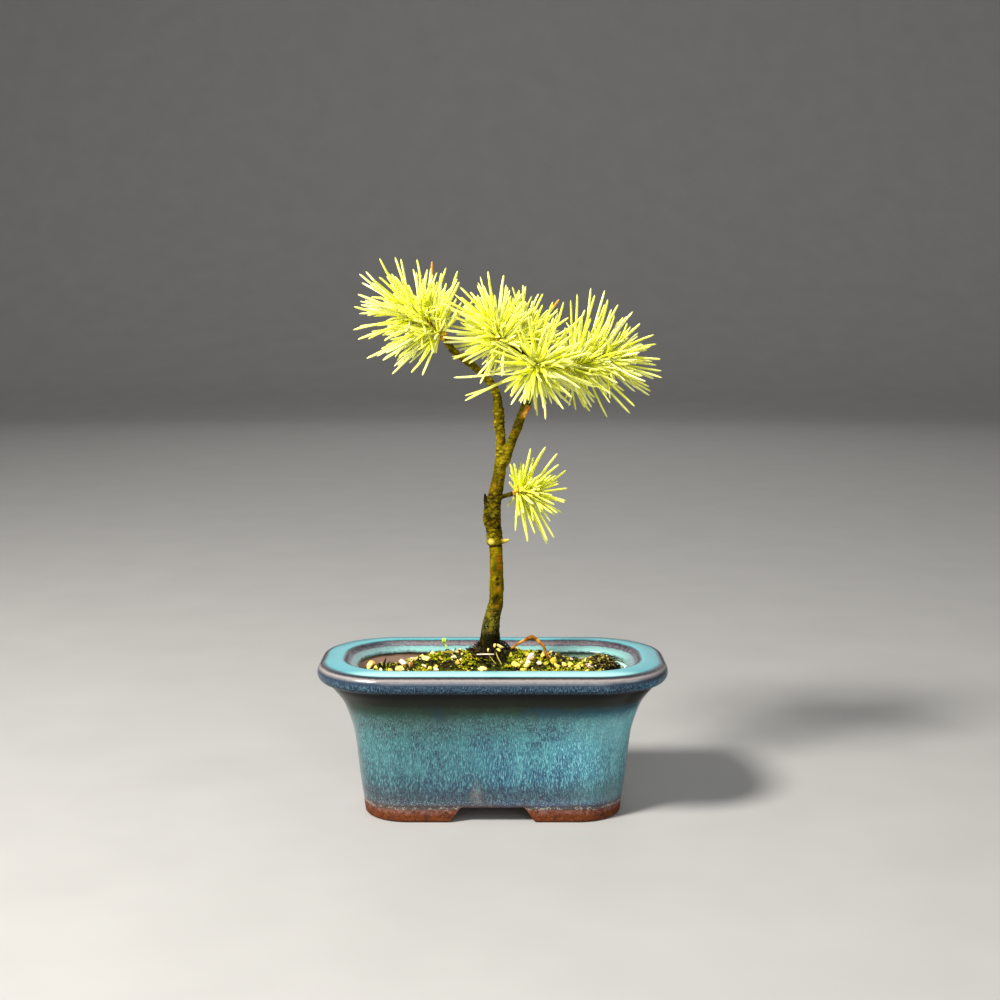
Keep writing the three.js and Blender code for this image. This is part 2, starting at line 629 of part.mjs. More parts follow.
function needleSolid({ foot, tip }) {
  const along = tip.clone().sub(foot).normalize();
  const across = vectorOf(NEEDLE_SIDEWAYS).cross(along).normalize();
  const side = new THREE.Vector3().crossVectors(along, across);
  const rings = [[foot, NEEDLE_RADIUS], [tip, NEEDLE_TIP_RADIUS]].map(([centre, radius]) => {
    const ring = [];
    for (let j = 0; j < NEEDLE_SIDES; j += 1) {
      const angle = j / NEEDLE_SIDES * 2 * Math.PI;
      ring.push(centre.clone()
        .addScaledVector(across, radius * Math.cos(angle))
        .addScaledVector(side, radius * Math.sin(angle)));
    }
    return ring;
  });
  return solidOf(skin(rings));
}

function makeSpray(spray, needles) {
  const shoot = shootOf(spray);
  const line = CORE_RADII.map(([share, radius]) => [...shoot.getPoint(share).toArray(), radius]);
  const bud = shoot.getPoint(1).addScaledVector(shoot.getTangent(1), BUD_LENGTH);
  line.push([...bud.toArray(), CORE_TIP_RADIUS]);
  return joined([limb(line, CORE_SIDES, 1), ...needles.map(needleSolid)]);
}

// The assembled tree
const bonsai = new THREE.Group();

function addPart(name, solid, finish) {
  const mesh = new THREE.Mesh(geometryOf(solid), new THREE.MeshStandardMaterial(FINISHES[finish]));
  mesh.name = name;
  bonsai.add(mesh);
}

addPart('pot', makePot(), 'pot');
addPart('drain_screen_left', makeScreen(-1), 'screen');
addPart('drain_screen_right', makeScreen(1), 'screen');
addPart('soil', makeSoil(), 'soil');
addPart('tree', makeTree(), 'tree');
const needles = placeNeedles();
for (const spray of SPRAYS) {
  addPart(spray.name, makeSpray(spray, needles[spray.name]), 'needles');
}

export default bonsai;
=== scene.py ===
"""Japanese white pine bonsai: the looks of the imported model.

Sizes are given in millimetres and written to the meshes in metres, in the CAD's frame:
+Z up, +X right, +Y back, origin on the surface under the middle of the pot.
"""

import math

import bmesh
import bpy
import numpy as np
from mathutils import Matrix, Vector, noise


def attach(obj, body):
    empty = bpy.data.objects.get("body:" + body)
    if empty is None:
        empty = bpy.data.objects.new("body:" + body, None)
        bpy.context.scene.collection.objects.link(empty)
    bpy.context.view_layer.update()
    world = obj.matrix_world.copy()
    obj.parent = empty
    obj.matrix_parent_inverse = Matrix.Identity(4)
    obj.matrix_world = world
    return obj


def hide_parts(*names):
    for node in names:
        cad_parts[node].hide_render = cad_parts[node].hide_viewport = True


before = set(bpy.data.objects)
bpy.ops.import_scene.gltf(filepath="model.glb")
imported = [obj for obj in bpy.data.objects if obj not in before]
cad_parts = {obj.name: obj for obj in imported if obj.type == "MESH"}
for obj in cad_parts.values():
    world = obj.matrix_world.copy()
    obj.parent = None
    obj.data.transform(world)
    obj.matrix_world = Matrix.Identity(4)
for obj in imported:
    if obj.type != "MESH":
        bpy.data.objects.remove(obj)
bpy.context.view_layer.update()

MM = 0.001
SEED = 11
rng = np.random.default_rng(SEED)

# Ends of the ranges of seeded turns, then steps from one turn to the next, radians
FULL_TURN = 6.283
STONE_TURN = 6.28
THIRD_TURN = 2.094
SPIRAL_TURN = 2.4
GOLDEN_ANGLE = math.pi * (3 - math.sqrt(5))

# Sizes shared with the solid model, mm
CLEARANCE = 0.35
RIM_HALF_LENGTH = 67.8
RIM_CORNER_RADIUS = 27.7
CORNER_GROWTH = 0.62
SHOULDER_HEIGHT = 45.6
FOOT_DEPTH_DIFFERENCE = 29.8
RIM_DEPTH_DIFFERENCE = 33.1
FOOT_HEIGHT = 6.0
FLOOR_HEIGHTS = (6.2, 10.5)
LONG_ARCH = (17.3, 12.6)
SHORT_ARCH = (8.5, 6.0)
ARCH_EASE = 0.22
ARCH_FADE_HEIGHT = 8
DRAIN_X = 24.0
DRAIN_RADIUS = 6.0
SOIL_HALF_LENGTH = 55.95
SOIL_EDGE_HEIGHT = 55.2
HEAP_HEIGHT = 10.8
HEAP_SPREAD = (40.0, 16.0)
MOUND = np.array([45.0, -3.0])
MOUND_HEIGHT = 5.0
GRIT_COUNT = 34
GRIT_SPREAD = (50, 18)
GRIT_RADII = (1.4, 2.4)
GRIT_FROM_TRUNK = 8.5
GRIT_FROM_ROOTS = 3.4
TRUNK_FOOT_X = -1.2
GRAFT_HEIGHT = 108.1
SHOOT_RADIUS = 2.1
NEEDLE_RADIUS = 0.62
NEEDLE_FOOT_OFFSET = 0.65
BUNDLE_LENGTH = 2.7
NEEDLE_LIMITS = (69.5, 37.0, 223.4)

# Knots and pits of the trunk: (place, width, height), mm
KNOTS = [
    ((2.0, -2.9, 94.8), 0.85, -0.6), ((2.2, -2.9, 92.7), 0.8, -0.5),
    ((1.0, -3.0, 85.9), 1.5, -0.7), ((2.0, -2.9, 87.4), 0.7, -0.5),
    ((-1.4, -3.0, 119.7), 1.3, -0.3), ((-3.4, -1.2, 119.0), 1.5, 0.6),
    ((-2.8, -1.6, 124.8), 1.1, 0.35), ((2.9, -2.2, 116.0), 1.0, -0.35),
    ((-0.6, -3.0, 112.6), 1.1, 0.35), ((4.5, -1.6, 142.5), 1.4, 0.3),
    ((0.2, -3.2, 121.0), 1.2, 0.4), ((3.6, -2.0, 104.0), 0.9, 0.3),
]
# Rust-coloured patches of the bark and the dry stub's end: (place, width), mm
RUSTY = [((3.3, -2.4, 103.0), 2.0), ((3.4, -2.4, 99.6), 1.7), ((2.4, -2.6, 90.2), 1.3)]
DRY_WOOD = [((12.9, -2.8, 161.2), 1.5), ((14.2, -3.0, 163.4), 1.5)]
# Heights of the dark wrinkles above the graft, mm
WRINKLES = [112.4, 114.0, 115.9, 117.6, 119.5, 121.4, 123.6, 126.0, 128.8]
# Yellow patches of fresh wood: (place, width), mm
FRESH_WOOD = [((-0.6, -2.6, 110.2), 1.3), ((6.0, -2.0, 110.7), 1.9)]
# Single stones that stand out: (x, y, z, radius, tone), mm
NAMED_STONES = [
    (-50.6, 10.0, 57.4, 1.7, 0.40), (-50.9, 3.4, 57.7, 1.6, 0.05),
    (-49.3, -3.4, 57.0, 1.4, 0.16), (-48.0, 2.2, 57.2, 1.2, 0.3),
    (-46.6, 6.0, 57.4, 1.3, 0.92), (-48.4, 7.0, 56.4, 1.3, 0.95),
    (-48.6, -4.6, 56.6, 1.3, 0.05), (-36.9, -8.5, 58.8, 2.0, 0.05),
    (-33.0, -6.0, 60.6, 1.5, 0.42), (-27.6, -9.5, 60.8, 1.2, 0.16),
    (-23.0, -12.5, 60.0, 1.2, 0.2), (-15.6, -6.0, 63.4, 1.1, 0.15),
    (9.8, -11.0, 61.4, 2.1, 0.3), (15.1, -6.9, 63.6, 1.8, 0.49),
    (14.2, -9.1, 62.2, 1.3, 0.18), (19.0, -9.1, 62.0, 1.3, 0.2),
    (24.5, -8.0, 62.4, 1.7, 0.58), (26.0, -12.0, 60.4, 1.1, 0.56),
    (20.4, -5.0, 64.2, 1.3, 0.3), (31.2, -6.6, 61.0, 1.7, 0.28),
    (34.0, -8.4, 59.8, 1.4, 0.3), (33.0, -9.8, 59.4, 1.2, 0.3), (29.0, -7.8, 61.0, 1.4, 0.05),
    (37.8, -9.4, 58.8, 1.1, 0.3), (12.2, -13.0, 59.8, 1.3, 0.3), (35.6, -4.8, 60.6, 1.3, 0.3),
    (36.4, -6.4, 60.2, 1.2, 0.31), (39.3, -7.1, 60.2, 1.5, 0.48), (0.9, -5.0, 68.2, 1.0, 0.38),
    (3.2, -4.9, 67.6, 1.4, 0.05), (2.5, -5.8, 66.6, 1.1, 0.3),
    (-1.9, -6.6, 66.6, 0.8, 0.1), (1.6, -4.3, 65.6, 1.6, 0.95),
    (-4.6, -3.4, 65.6, 1.7, 0.95), (-5.8, -1.2, 65.8, 1.7, 0.92),
    (5.6, -5.6, 65.4, 1.4, 0.95), (6.8, -5.2, 65.6, 1.2, 0.92),
    (7.6, -5.6, 64.4, 1.0, 0.55), (-6.6, 0.8, 65.4, 1.4, 0.97),
]
# A pale sliver, rootlets and the sprout's stem: (points, radii, tone), mm
LITTER_LINES = [
    ([(-6.4, -8.6, 65.2), (-2.6, -8.7, 65.3), (0.6, -8.4, 65.2)], (0.2, 0.3, 0.2), 0.76),
    ([(2.4, -1.8, 69.6), (5.2, -2.6, 68.6), (7.2, -4.2, 66.2), (7.6, -4.6, 64.2)],
     (0.4, 0.4, 0.3), 0.05),
    ([(-44.2, 2.0, 56.0), (-44.5, 2.2, 58.6), (-43.7, 2.6, 61.2)], (0.6, 0.6, 0.12), 0.2),
    ([(-43.6, 2.4, 56.0), (-43.0, 2.2, 58.2), (-42.2, 2.0, 59.8)], (0.5, 0.5, 0.12), 0.1),
    ([(-44.8, 1.6, 56.0), (-45.6, 1.4, 57.8), (-46.2, 1.2, 59.2)], (0.5, 0.5, 0.12), 0.1),
    ([(-4.2, -2.0, 65.8), (-5.4, -2.2, 67.8), (-5.9, -2.6, 69.2)], (0.5, 0.45, 0.15), 0.05),
    ([(-5.4, -1.0, 65.0), (-6.4, -1.6, 66.6), (-7.6, -1.8, 68.2)], (0.5, 0.4, 0.12), 0.2),
    ([(-4.4, 0.6, 65.4), (-5.0, 0.4, 67.4), (-4.8, 0.2, 69.0)], (0.5, 0.4, 0.12), 0.1),
    ([(3.4, -1.2, 65.8), (4.4, -1.4, 67.4), (4.8, -1.2, 68.8)], (0.5, 0.4, 0.12), 0.1),
    ([(1.4, -5.4, 65.6), (1.9, -8.4, 64.4), (3.6, -12.0, 61.9)], (0.2, 0.25, 0.2), 0.62),
    ([(-1.8, -6.2, 65.0), (-0.6, -9.0, 63.8), (1.4, -11.6, 62.0)], (0.2, 0.2, 0.2), 0.58),
    ([(-17.8, 4.0, 62.6), (-18.8, 3.8, 65.2), (-20.0, 4.0, 67.0)], (0.35, 0.3, 0.3), 0.9),
]

# The wood, drawn as lines through (x, y, z, radius), mm
TRUNK = [
    (-0.4, 0, 40, 1.8), (-0.7, 0, 50, 3.2), (-1.1, 0, 60, 4.6), (-1.2, 0, 66, 4.5),
    (-1.1, 0, 69, 4.1), (-0.6, 0, 75.4, 3.6), (0.3, 0, 80.5, 3.2), (1.4, 0, 85.7, 2.9),
    (1.6, 0, 94, 2.9), (1.55, 0, 102, 2.65), (1.3, 0, 107.4, 2.7), (1.1, 0, 108.9, 3.1),
    (0.9, 0, 111, 3.2), (0.3, 0, 115.5, 3.2), (-0.2, 0, 119, 3.6), (0.0, 0, 123.5, 3.4),
    (0.7, 0, 127.5, 2.95), (1.5, 0, 131, 2.8), (2.3, 0, 135, 2.6), (2.9, 0, 139, 2.6),
    (3.4, 0, 143, 2.5),
]
LEFT_LEADER = [
    (3.1, 0, 140, 2.0), (3.2, 0.4, 145, 1.9), (3.3, 1.0, 151, 1.9), (2.7, 1.4, 157, 2.1),
    (2.3, 1.5, 163, 2.1), (1.1, 1.2, 170.5, 1.7), (-3.0, 0.8, 176.2, 1.5),
    (-8.8, 0.4, 181.3, 1.4), (-15.0, 0, 186.0, 1.4), (-18.8, 0, 191.2, 1.5),
]
RIGHT_LEADER = [
    (4.0, -0.3, 141, 2.2), (5.6, -0.8, 145, 2.3), (7.9, -1.3, 151, 1.8),
    (10.1, -1.7, 157, 2.0), (12.2, -2.0, 162.5, 1.8), (14.0, -2.0, 167, 1.6),
    (15.3, -1.6, 173, 1.6), (16.6, -1.2, 180, 1.6),
]
FRONT_TWIG = [(16.5, -1.2, 179.2, 1.5), (16.8, -2.6, 180.4, 1.4), (17.0, -4.2, 180.9, 1.4)]
MIDDLE_TWIG = [
    (16.2, -1.4, 178.6, 1.4), (13.4, -2.6, 183.2, 1.3), (10.2, -4.2, 186.9, 1.2),
    (7.2, -5.0, 188.7, 1.2),
]
RIGHT_TWIG = [(16.2, -1.2, 178.4, 1.5), (20.6, 0.6, 179.6, 1.4), (26.0, 2.6, 180.0, 1.4)]
BACK_TWIG = [(16.3, -1.0, 178.8, 1.4), (15.6, 3.6, 183.0, 1.3), (14.4, 7.6, 185.6, 1.3)]
LOW_TWIG = [(1.6, -0.6, 127.4, 1.1), (4.6, -1.4, 128.5, 0.9), (8.0, -2.0, 129.5, 0.9)]
CUT_STUB = [(1.6, -1.2, 109.9, 1.0), (4.4, -1.8, 110.3, 0.8), (6.3, -2.0, 110.8, 0.6)]
DRY_STUB = [(11.6, -2.2, 158.5, 0.9), (13.3, -2.7, 162.0, 0.8), (14.6, -3.0, 164.2, 0.7)]
BUD_SPUR = [(-0.4, -0.6, 122.6, 1.2), (-2.6, -1.0, 126.2, 1.0), (-3.1, -1.1, 129.2, 0.6)]
ARCHED_ROOT = [
    (1.0, -1.6, 60, 1.2), (4.6, -4.0, 64.2, 0.9), (7.6, -4.0, 66.8, 0.85),
    (12.2, -4.0, 69.7, 0.8), (15.9, -4.0, 71.0, 1.0), (19.2, -4.0, 69.0, 0.8),
    (21.2, -4.0, 66.0, 0.8), (22.4, -4.0, 61.5, 0.7), (22.8, -4.0, 56.5, 0.5),
]
SURFACE_ROOTS = [
    [(-2.4, -1.4, 65.4, 1.5), (-6.0, -4.0, 64.6, 1.1), (-9.0, -6.4, 60.0, 0.6)],
    [(1.0, -2.4, 66.0, 1.1), (4.2, -6.6, 64.2, 0.8), (6.0, -9.4, 60.0, 0.5)],
    [(0.4, 2.6, 65.6, 1.4), (3.0, 6.6, 63.6, 1.0), (4.4, 10.0, 59.0, 0.6)],
]
STUBS = [CUT_STUB, DRY_STUB, BUD_SPUR]
LIMBS = [
    TRUNK, LEFT_LEADER, RIGHT_LEADER, FRONT_TWIG, MIDDLE_TWIG, RIGHT_TWIG, BACK_TWIG, LOW_TWIG,
    *STUBS,
]

# Each spray of needles: the twig that carries it, the length that its needles reach, how many
# bundles fill it, the line of its shoot, and the tips (x, z) that stand out round it, mm. The
# rest has a default: how green the shoot is, the range of the needles' tones, the places of red
# tips, the widest turn from the shoot at which a bundle has further needles, and how many short
# inner needles there are for each filling bundle.
SPRAY_DEFAULTS = dict(green=0.0, tones=(0, 1), ripe=[], widest=3.2, inner=2.2)
SPRAYS = [SPRAY_DEFAULTS | given for given in (
    dict(name="needles_front", carrier=FRONT_TWIG, reach=25, fill=34, green=0.8,
         shoot=[(17.1, -9.0, 181.2), (17.3, -13.0, 181.0)],
         tips=[(-13.8, 172.0), (-2.5, 179.0), (9.6, 170.1), (15.1, 163.4), (20.6, 161.9),
               (23.7, 166.6), (27.2, 168.9), (33.8, 166.2), (41.2, 172.4), (34.3, 204.5),
               (25.0, 206.4), (6.0, 199.0), (38.0, 190.0)]),
    dict(name="needles_right", carrier=RIGHT_TWIG, reach=24, fill=40, green=0.8, inner=3.2,
         shoot=[(33.0, 4.0, 180.3), (39.8, 4.2, 181.9), (46.2, 4.2, 184.3)],
         tips=[(36.8, 209.2), (44.3, 211.2), (47.5, 207.2), (51.2, 202.1), (56.0, 199.3),
               (60.4, 196.6), (63.2, 192.2), (66.1, 187.0), (65.4, 181.5), (67.0, 177.1),
               (65.9, 171.9), (63.2, 166.7), (56.4, 161.0), (39.5, 162.2), (35.5, 167.9)]),
    dict(name="needles_middle", carrier=MIDDLE_TWIG, reach=23, fill=34, inner=3.0,
         shoot=[(3.4, -5.2, 190.2), (2.2, -5.4, 193.4), (1.8, -5.6, 196.4)],
         tips=[(-7.2, 217.3), (-3.3, 218.1), (-13.1, 210.7), (-9.2, 209.6), (-19.7, 209.6),
               (-18.6, 199.4), (-19.8, 192.8), (-19.9, 187.3), (-14.0, 181.8), (5.3, 212.0),
               (14.0, 206.0)]),
    dict(name="needles_back", carrier=BACK_TWIG, reach=23, fill=34, green=0.8,
         ripe=[(24.7, 208.8)], shoot=[(13.2, 9.8, 189.0), (11.9, 11.4, 193.4)],
         tips=[(4.6, 212.0), (8.6, 212.4), (13.4, 213.2), (18.6, 211.6), (24.7, 208.8),
               (27.1, 202.1), (31.0, 193.0), (-8.0, 201.0)]),
    dict(name="needles_left", carrier=LEFT_LEADER, reach=26, fill=44, inner=3.0,
         ripe=[(-21.5, 220.1), (-38.9, 214.8)],
         shoot=[(-23.2, 0, 195.4), (-27.6, -0.4, 198.4), (-33.0, -0.6, 201.4)],
         tips=[(-44.7, 222.8), (-34.8, 223.6), (-25.8, 221.3), (-21.5, 220.1), (-13.6, 217.4),
               (-54.6, 213.9), (-44.4, 215.4), (-54.0, 205.3), (-55.2, 198.6), (-55.7, 193.9),
               (-51.8, 186.8), (-43.1, 184.8), (-42.4, 179.7), (-32.8, 177.3), (-10.0, 202.0)]),
    dict(name="needles_low", carrier=LOW_TWIG, reach=15, fill=22, widest=1.7, inner=1.4,
         tones=(0.68, 1.0), shoot=[(11.4, -2.2, 130.4), (16.4, -2.4, 129.8)],
         tips=[(8.6, 141.0), (13.0, 140.3), (17.5, 148.0), (23.9, 146.7), (28.9, 141.0),
               (31.6, 131.4), (29.4, 125.6), (26.6, 119.4), (24.4, 111.8), (16.7, 107.5),
               (14.2, 110.3)]),
)]


# Small helpers

def scatter(seed):
    """A number from 0 to 1 that follows from seed."""
    wave = math.sin(seed * 12.9898 + 4.1414) * 43758.5453
    return wave - math.floor(wave)


def between(low, high, share):
    return low + (high - low) * share


def unit(v):
    return v / np.linalg.norm(v)


def smooth(x):
    x = np.clip(x, 0, 1)
    return x * x * (3 - 2 * x)


def bell(x, width, power=2):
    """1 where x is 0, less and less beyond width on either side."""
    return np.exp(-(x / width) ** power)


def level_way(turn):
    """The level direction at an angle from +X."""
    return np.array([math.cos(turn), math.sin(turn), 0.0])


def circle(turns, radius):
    """Level points about the origin, one for each turn."""
    return np.stack([np.cos(turns), np.sin(turns), np.zeros(len(turns))], 1) * radius


def even_turns(count):
    return np.arange(count) / count * 2 * math.pi


def noise_at(points, scale, seed, octaves):
    """Fractal noise about 0 at points in mm."""
    shift = Vector((seed * 17.3, seed * -9.1, seed * 5.7))
    return np.array([
        noise.fractal(Vector(p) * scale + shift, 0.9, 2.1, octaves) for p in points])


class Curve:
    """A smooth line through its points, the same as the solid model's."""

    def __init__(self, points):
        self.p = [np.array(q[:3], float) for q in points]

    def at(self, t):
        p, n = self.p, len(self.p)
        place = (n - 1) * t
        i = int(math.floor(place))
        w = place - i
        if w == 0 and i == n - 1:
            i, w = n - 2, 1
        before = p[i - 1] if i > 0 else 2 * p[0] - p[1]
        after = p[i + 2] if i + 2 < n else 2 * p[n - 1] - p[n - 2]
        a, b = 0.5 * (p[i + 1] - before), 0.5 * (after - p[i])
        return (p[i] + a * w + (-3 * p[i] + 3 * p[i + 1] - 2 * a - b) * w * w
                + (2 * p[i] - 2 * p[i + 1] + a + b) * w ** 3)

    def along(self, t):
        return unit(self.at(min(t + 1e-4, 1)) - self.at(max(t - 1e-4, 0)))

    def axis(self):
        return unit(self.at(1) - self.at(0))

    def samples(self, count):
        return np.array([self.at(t) for t in np.linspace(0, 1, count)])

    def length(self):
        return sum(np.linalg.norm(b - a) for a, b in zip(self.p, self.p[1:]))


def make_mesh(name, points, faces, marks=None, smooth_faces=True):
    """A mesh from points in mm; marks are one number for each point."""
    mesh = bpy.data.meshes.new(name)
    mesh.from_pydata(np.asarray(points, np.float64) * MM, [], faces)
    mesh.polygons.foreach_set("use_smooth", np.full(len(faces), smooth_faces))
    mesh.validate()
    for key, values in (marks or {}).items():
        mesh.attributes.new(key, "FLOAT", "POINT").data.foreach_set(
            "value", np.asarray(values, np.float32))
    return mesh


def add_object(name, data):
    ob = bpy.data.objects.new(name, data)
    bpy.context.scene.collection.objects.link(ob)
    return ob


def piece(mesh, material, slot, *replaces):
    """A visible piece of the part, named as its mesh."""
    ob = add_object(mesh.name, mesh)
    mesh.materials.append(material)
    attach(ob, "root")
    if replaces:
        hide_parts(*replaces)


class Soup:
    """Collects small closed shapes into one mesh."""

    def __init__(self):
        self.points, self.faces, self.marks, self.count = [], [], {}, 0

    def add(self, points, faces, **marks):
        self.faces += [tuple(i + self.count for i in f) for f in faces]
        self.points.append(points)
        for key, value in marks.items():
            self.marks.setdefault(key, []).append(np.broadcast_to(value, len(points)))
        self.count += len(points)

    def mesh(self, name, smooth_faces=True):
        marks = {k: np.concatenate(v) for k, v in self.marks.items()}
        return make_mesh(name, np.concatenate(self.points), self.faces, marks, smooth_faces)


def frame_across(along, first):
    """Two directions across a line; the first is also across the direction first."""
    across = np.cross(first, along)
    if np.linalg.norm(across) < 1e-6:
        across = np.cross((1.0, 0.3, 0.2), along)
    across = unit(across)
    return across, np.cross(along, across)


def tube_faces(rings, sides):
    """Faces of rings that run from point 0 on; the two cap points come last."""
    start, end = rings * sides, rings * sides + 1
    last = start - sides
    pairs = [(j, (j + 1) % sides) for j in range(sides)]
    faces = [(low + j, low + k, low + sides + k, low + sides + j)
             for low in range(0, last, sides) for j, k in pairs]
    for j, k in pairs:
        faces += [(start, k, j), (end, last + j, last + k)]
    return faces


def tube(centres, radii, sides, squeeze=None):
    """Points and faces of a closed tube through the centres, mm."""
    centres = np.asarray(centres, float)
    steps = np.gradient(centres, axis=0)
    steps /= np.linalg.norm(steps, axis=1)[:, None]
    across = frame_across(steps[0], (0.13, 1.0, 0.07))[0]
    angles = even_turns(sides)
    points = []
    for centre, along, radius in zip(centres, steps, radii):
        across = unit(across - along * np.dot(across, along))
        side = np.cross(along, across)
        r = radius * (squeeze(angles) if squeeze else 1.0) * np.ones(sides)
        points.append(centre + np.outer(r * np.cos(angles), across)
                      + np.outer(r * np.sin(angles), side))
    points = np.concatenate(points + [centres[:1], centres[-1:]])
    return points, tube_faces(len(centres), sides)


# Material helpers

def srgb(r, g, b):
    """A linear colour from the eight-bit values of a picture."""
    return tuple(((c / 255 + 0.055) / 1.055) ** 2.4 if c > 10 else c / 255 / 12.92
                 for c in (r, g, b)) + (1.0,)


class Value:
    """An output of a material's node; sums, products and steps of it add nodes."""

    def __init__(self, material, socket):
        self.material, self.socket = material, socket

    def math(self, operation, *others):
        n = self.material.node("Math", operation=operation)
        return self.material.output(n, 0, *enumerate((self, *others)))

    def __add__(self, other):
        return self.math("ADD", other)

    def __sub__(self, other):
        return self.math("SUBTRACT", other)

    def __mul__(self, other):
        return self.math("MULTIPLY", other)

    def __truediv__(self, other):
        return self.math("DIVIDE", other)

    def __abs__(self):
        return self.math("ABSOLUTE")

    def larger(self, other):
        return self.math("MAXIMUM", other)

    def step(self, low, high, out_low=0.0, out_high=1.0):
        """A smooth step from low to high."""
        n = self.material.node("MapRange", interpolation_type="SMOOTHSTEP")
        return self.material.output(n, 0, *enumerate((self, low, high, out_low, out_high)))

    def ramp(self, *stops, mode="LINEAR"):
        """Colours at their positions from 0 to 1."""
        n = self.material.node("ValToRGB")
        n.color_ramp.interpolation = mode
        ends = n.color_ramp.elements
        while len(ends) < len(stops):
            ends.new(0.5)
        for element, (position, colour) in zip(ends, stops):
            element.position = position
            element.color = srgb(*colour)
        return self.material.output(n, "Color", ("Fac", self))


class Material:
    """A node material with short calls for the nodes that it needs."""

    def __init__(self, name, **fixed):
        self.made = bpy.data.materials.new(name)
        self.made.use_nodes = True
        self.tree = self.made.node_tree
        self.finish(**fixed)

    def put(self, socket, value):
        """Link a value to a socket or set it; a colour is given in eight-bit numbers."""
        if isinstance(value, Value):
            self.tree.links.new(value.socket, socket)
        elif value is not None:
            socket.default_value = srgb(*value) if socket.type == "RGBA" else value

    def node(self, kind, **settings):
        n = self.tree.nodes.new("ShaderNode" + kind)
        for key, value in settings.items():
            setattr(n, key, value)
        return n

    def output(self, n, key, *inputs):
        """An output of a node after its inputs, given as (key, value), are put in."""
        for at, value in inputs:
            self.put(n.inputs[at], value)
        return Value(self, n.outputs[key])

    def place(self, scale=(1, 1, 1), shift=(0, 0, 0)):
        """Object coordinates in mm times scale."""
        object_place = self.output(self.node("TexCoord"), "Object")
        return self.output(
            self.node("Mapping"), "Vector", ("Vector", object_place), ("Location", shift),
            ("Scale", tuple(s / MM for s in scale)))

    def axes(self):
        """X, Y and Z in mm."""
        n = self.node("SeparateXYZ")
        self.put(n.inputs[0], self.place())
        return [Value(self, output) for output in n.outputs]

    def noise(self, scale, detail, rough, place=None):
        return self.output(
            self.node("TexNoise"), "Fac", ("Vector", place or self.place()), ("Scale", scale),
            ("Detail", detail), ("Roughness", rough))

    def mark(self, name):
        return self.output(self.node("Attribute", attribute_name=name), "Fac")

    def paint(self, colour, *layers):
        """Lay each (colour, amount) over those before it."""
        for over, amount in layers:
            n = self.node("Mix", data_type="RGBA")
            colour = self.output(n, 2, (0, amount), (6, colour), (7, over))
        return colour

    def bump(self, height, distance, strength, normal=None):
        return self.output(
            self.node("Bump"), "Normal", ("Strength", strength), ("Distance", distance * MM),
            ("Height", height), ("Normal", normal))

    def finish(self, **looks):
        """Put looks on the shader's sockets, named with _ for a space."""
        for key, value in looks.items():
            self.put(self.tree.nodes["Principled BSDF"].inputs[key.replace("_", " ")], value)
        return self.made


# Pot

def depth_of(a, z):
    """The plan's half depth at the height z, where its half length is a."""
    share = min(max(z / SHOULDER_HEIGHT, 0), 1)
    return a - between(FOOT_DEPTH_DIFFERENCE, RIM_DEPTH_DIFFERENCE, share)


# Places of the outline's points: angles in a corner, then shares of each long and short side,
# closer together where the arches rise
CORNER_ANGLES = np.linspace(0, math.pi / 2, 37)
SIDE_STRETCHES = [(-1, -0.56, 8), (-0.56, -0.32, 16), (-0.32, 0.32, 16), (0.32, 0.56, 16),
                  (0.56, 1, 8)]
LONG_SHARES = np.concatenate([np.linspace(a, b, n + 1)[1:] for a, b, n in SIDE_STRETCHES])[:-1]
SHORT_SHARES = np.linspace(-1, 1, 9)[1:-1]
POT_PLACES = (CORNER_ANGLES, LONG_SHARES, SHORT_SHARES)


def plan_ring(a, z, scale=1.0, places=POT_PLACES):
    """Points of the plan's outline, counter-clockwise from the right side, mm."""
    angles, long_shares, short_shares = places
    b = depth_of(a, z)
    r = RIM_CORNER_RADIUS - (RIM_HALF_LENGTH - a) * CORNER_GROWTH
    ring = []
    for corner, (sx, sy) in enumerate(((1, 1), (-1, 1), (-1, -1), (1, -1))):
        turn = angles + corner * math.pi / 2
        ring.append(np.stack([
            sx * (a - r) + r * np.cos(turn), sy * (b - r) + r * np.sin(turn)], 1))
        if sx == sy:
            side = -sx * long_shares * (a - r)
            ring.append(np.stack([side, np.full(len(side), sy * b)], 1))
        else:
            side = -sy * short_shares * (b - r)
            ring.append(np.stack([np.full(len(side), sx * a), side], 1))
    flat = np.concatenate(ring) * scale
    return np.column_stack([flat, np.full(len(flat), float(z))])


def smooth_line(points, step):
    """A smooth line through (a, z) points with a sample about every step mm."""
    curve = Curve([(a, z, 0) for a, z in points])
    out = []
    for i, (a, b) in enumerate(zip(curve.p, curve.p[1:])):
        count = max(1, round(np.linalg.norm(b - a) / step))
        out += [curve.at((i + j / count) / (len(points) - 1))[:2] for j in range(count)]
    return out + [curve.p[-1][:2]]


# The pot's profile as (half length of the plan, height), mm
FOOT_BOTTOM = [(45.2, 6.2), (45.2, 1.2), (45.5, 0.35), (46.0, 0), (51.2, 0), (51.8, 0.15),
               (52.1, 0.45)]
POT_FOOT = [(52.2, 0.9), (52.9, 6.2), (54.0, 14)]
POT_OUTSIDE = [(54.0, 14), (55.1, 24), (56.3, 33), (57.9, 39), (60.3, 45.6), (62.7, 49.6),
               (65.4, 53.2), (66.6, 55.2)]
POT_LIP = [
    (66.9, 55.6), (69.0, 55.9), (70.1, 57.2), (70.5, 59.0), (70.1, 60.8), (69.2, 61.9),
    (67.8, 62.5), (64.5, 63.05), (61.9, 63.25), (60.7, 63.15), (59.8, 62.7), (58.9, 61.8),
    (58.0, 61.2), (56.4, 60.7), (54.9, 60.1), (54.3, 59.3), (54.35, 58.7), (54.8, 58.2),
    (55.6, 57.8), (56.2, 57.2),
]
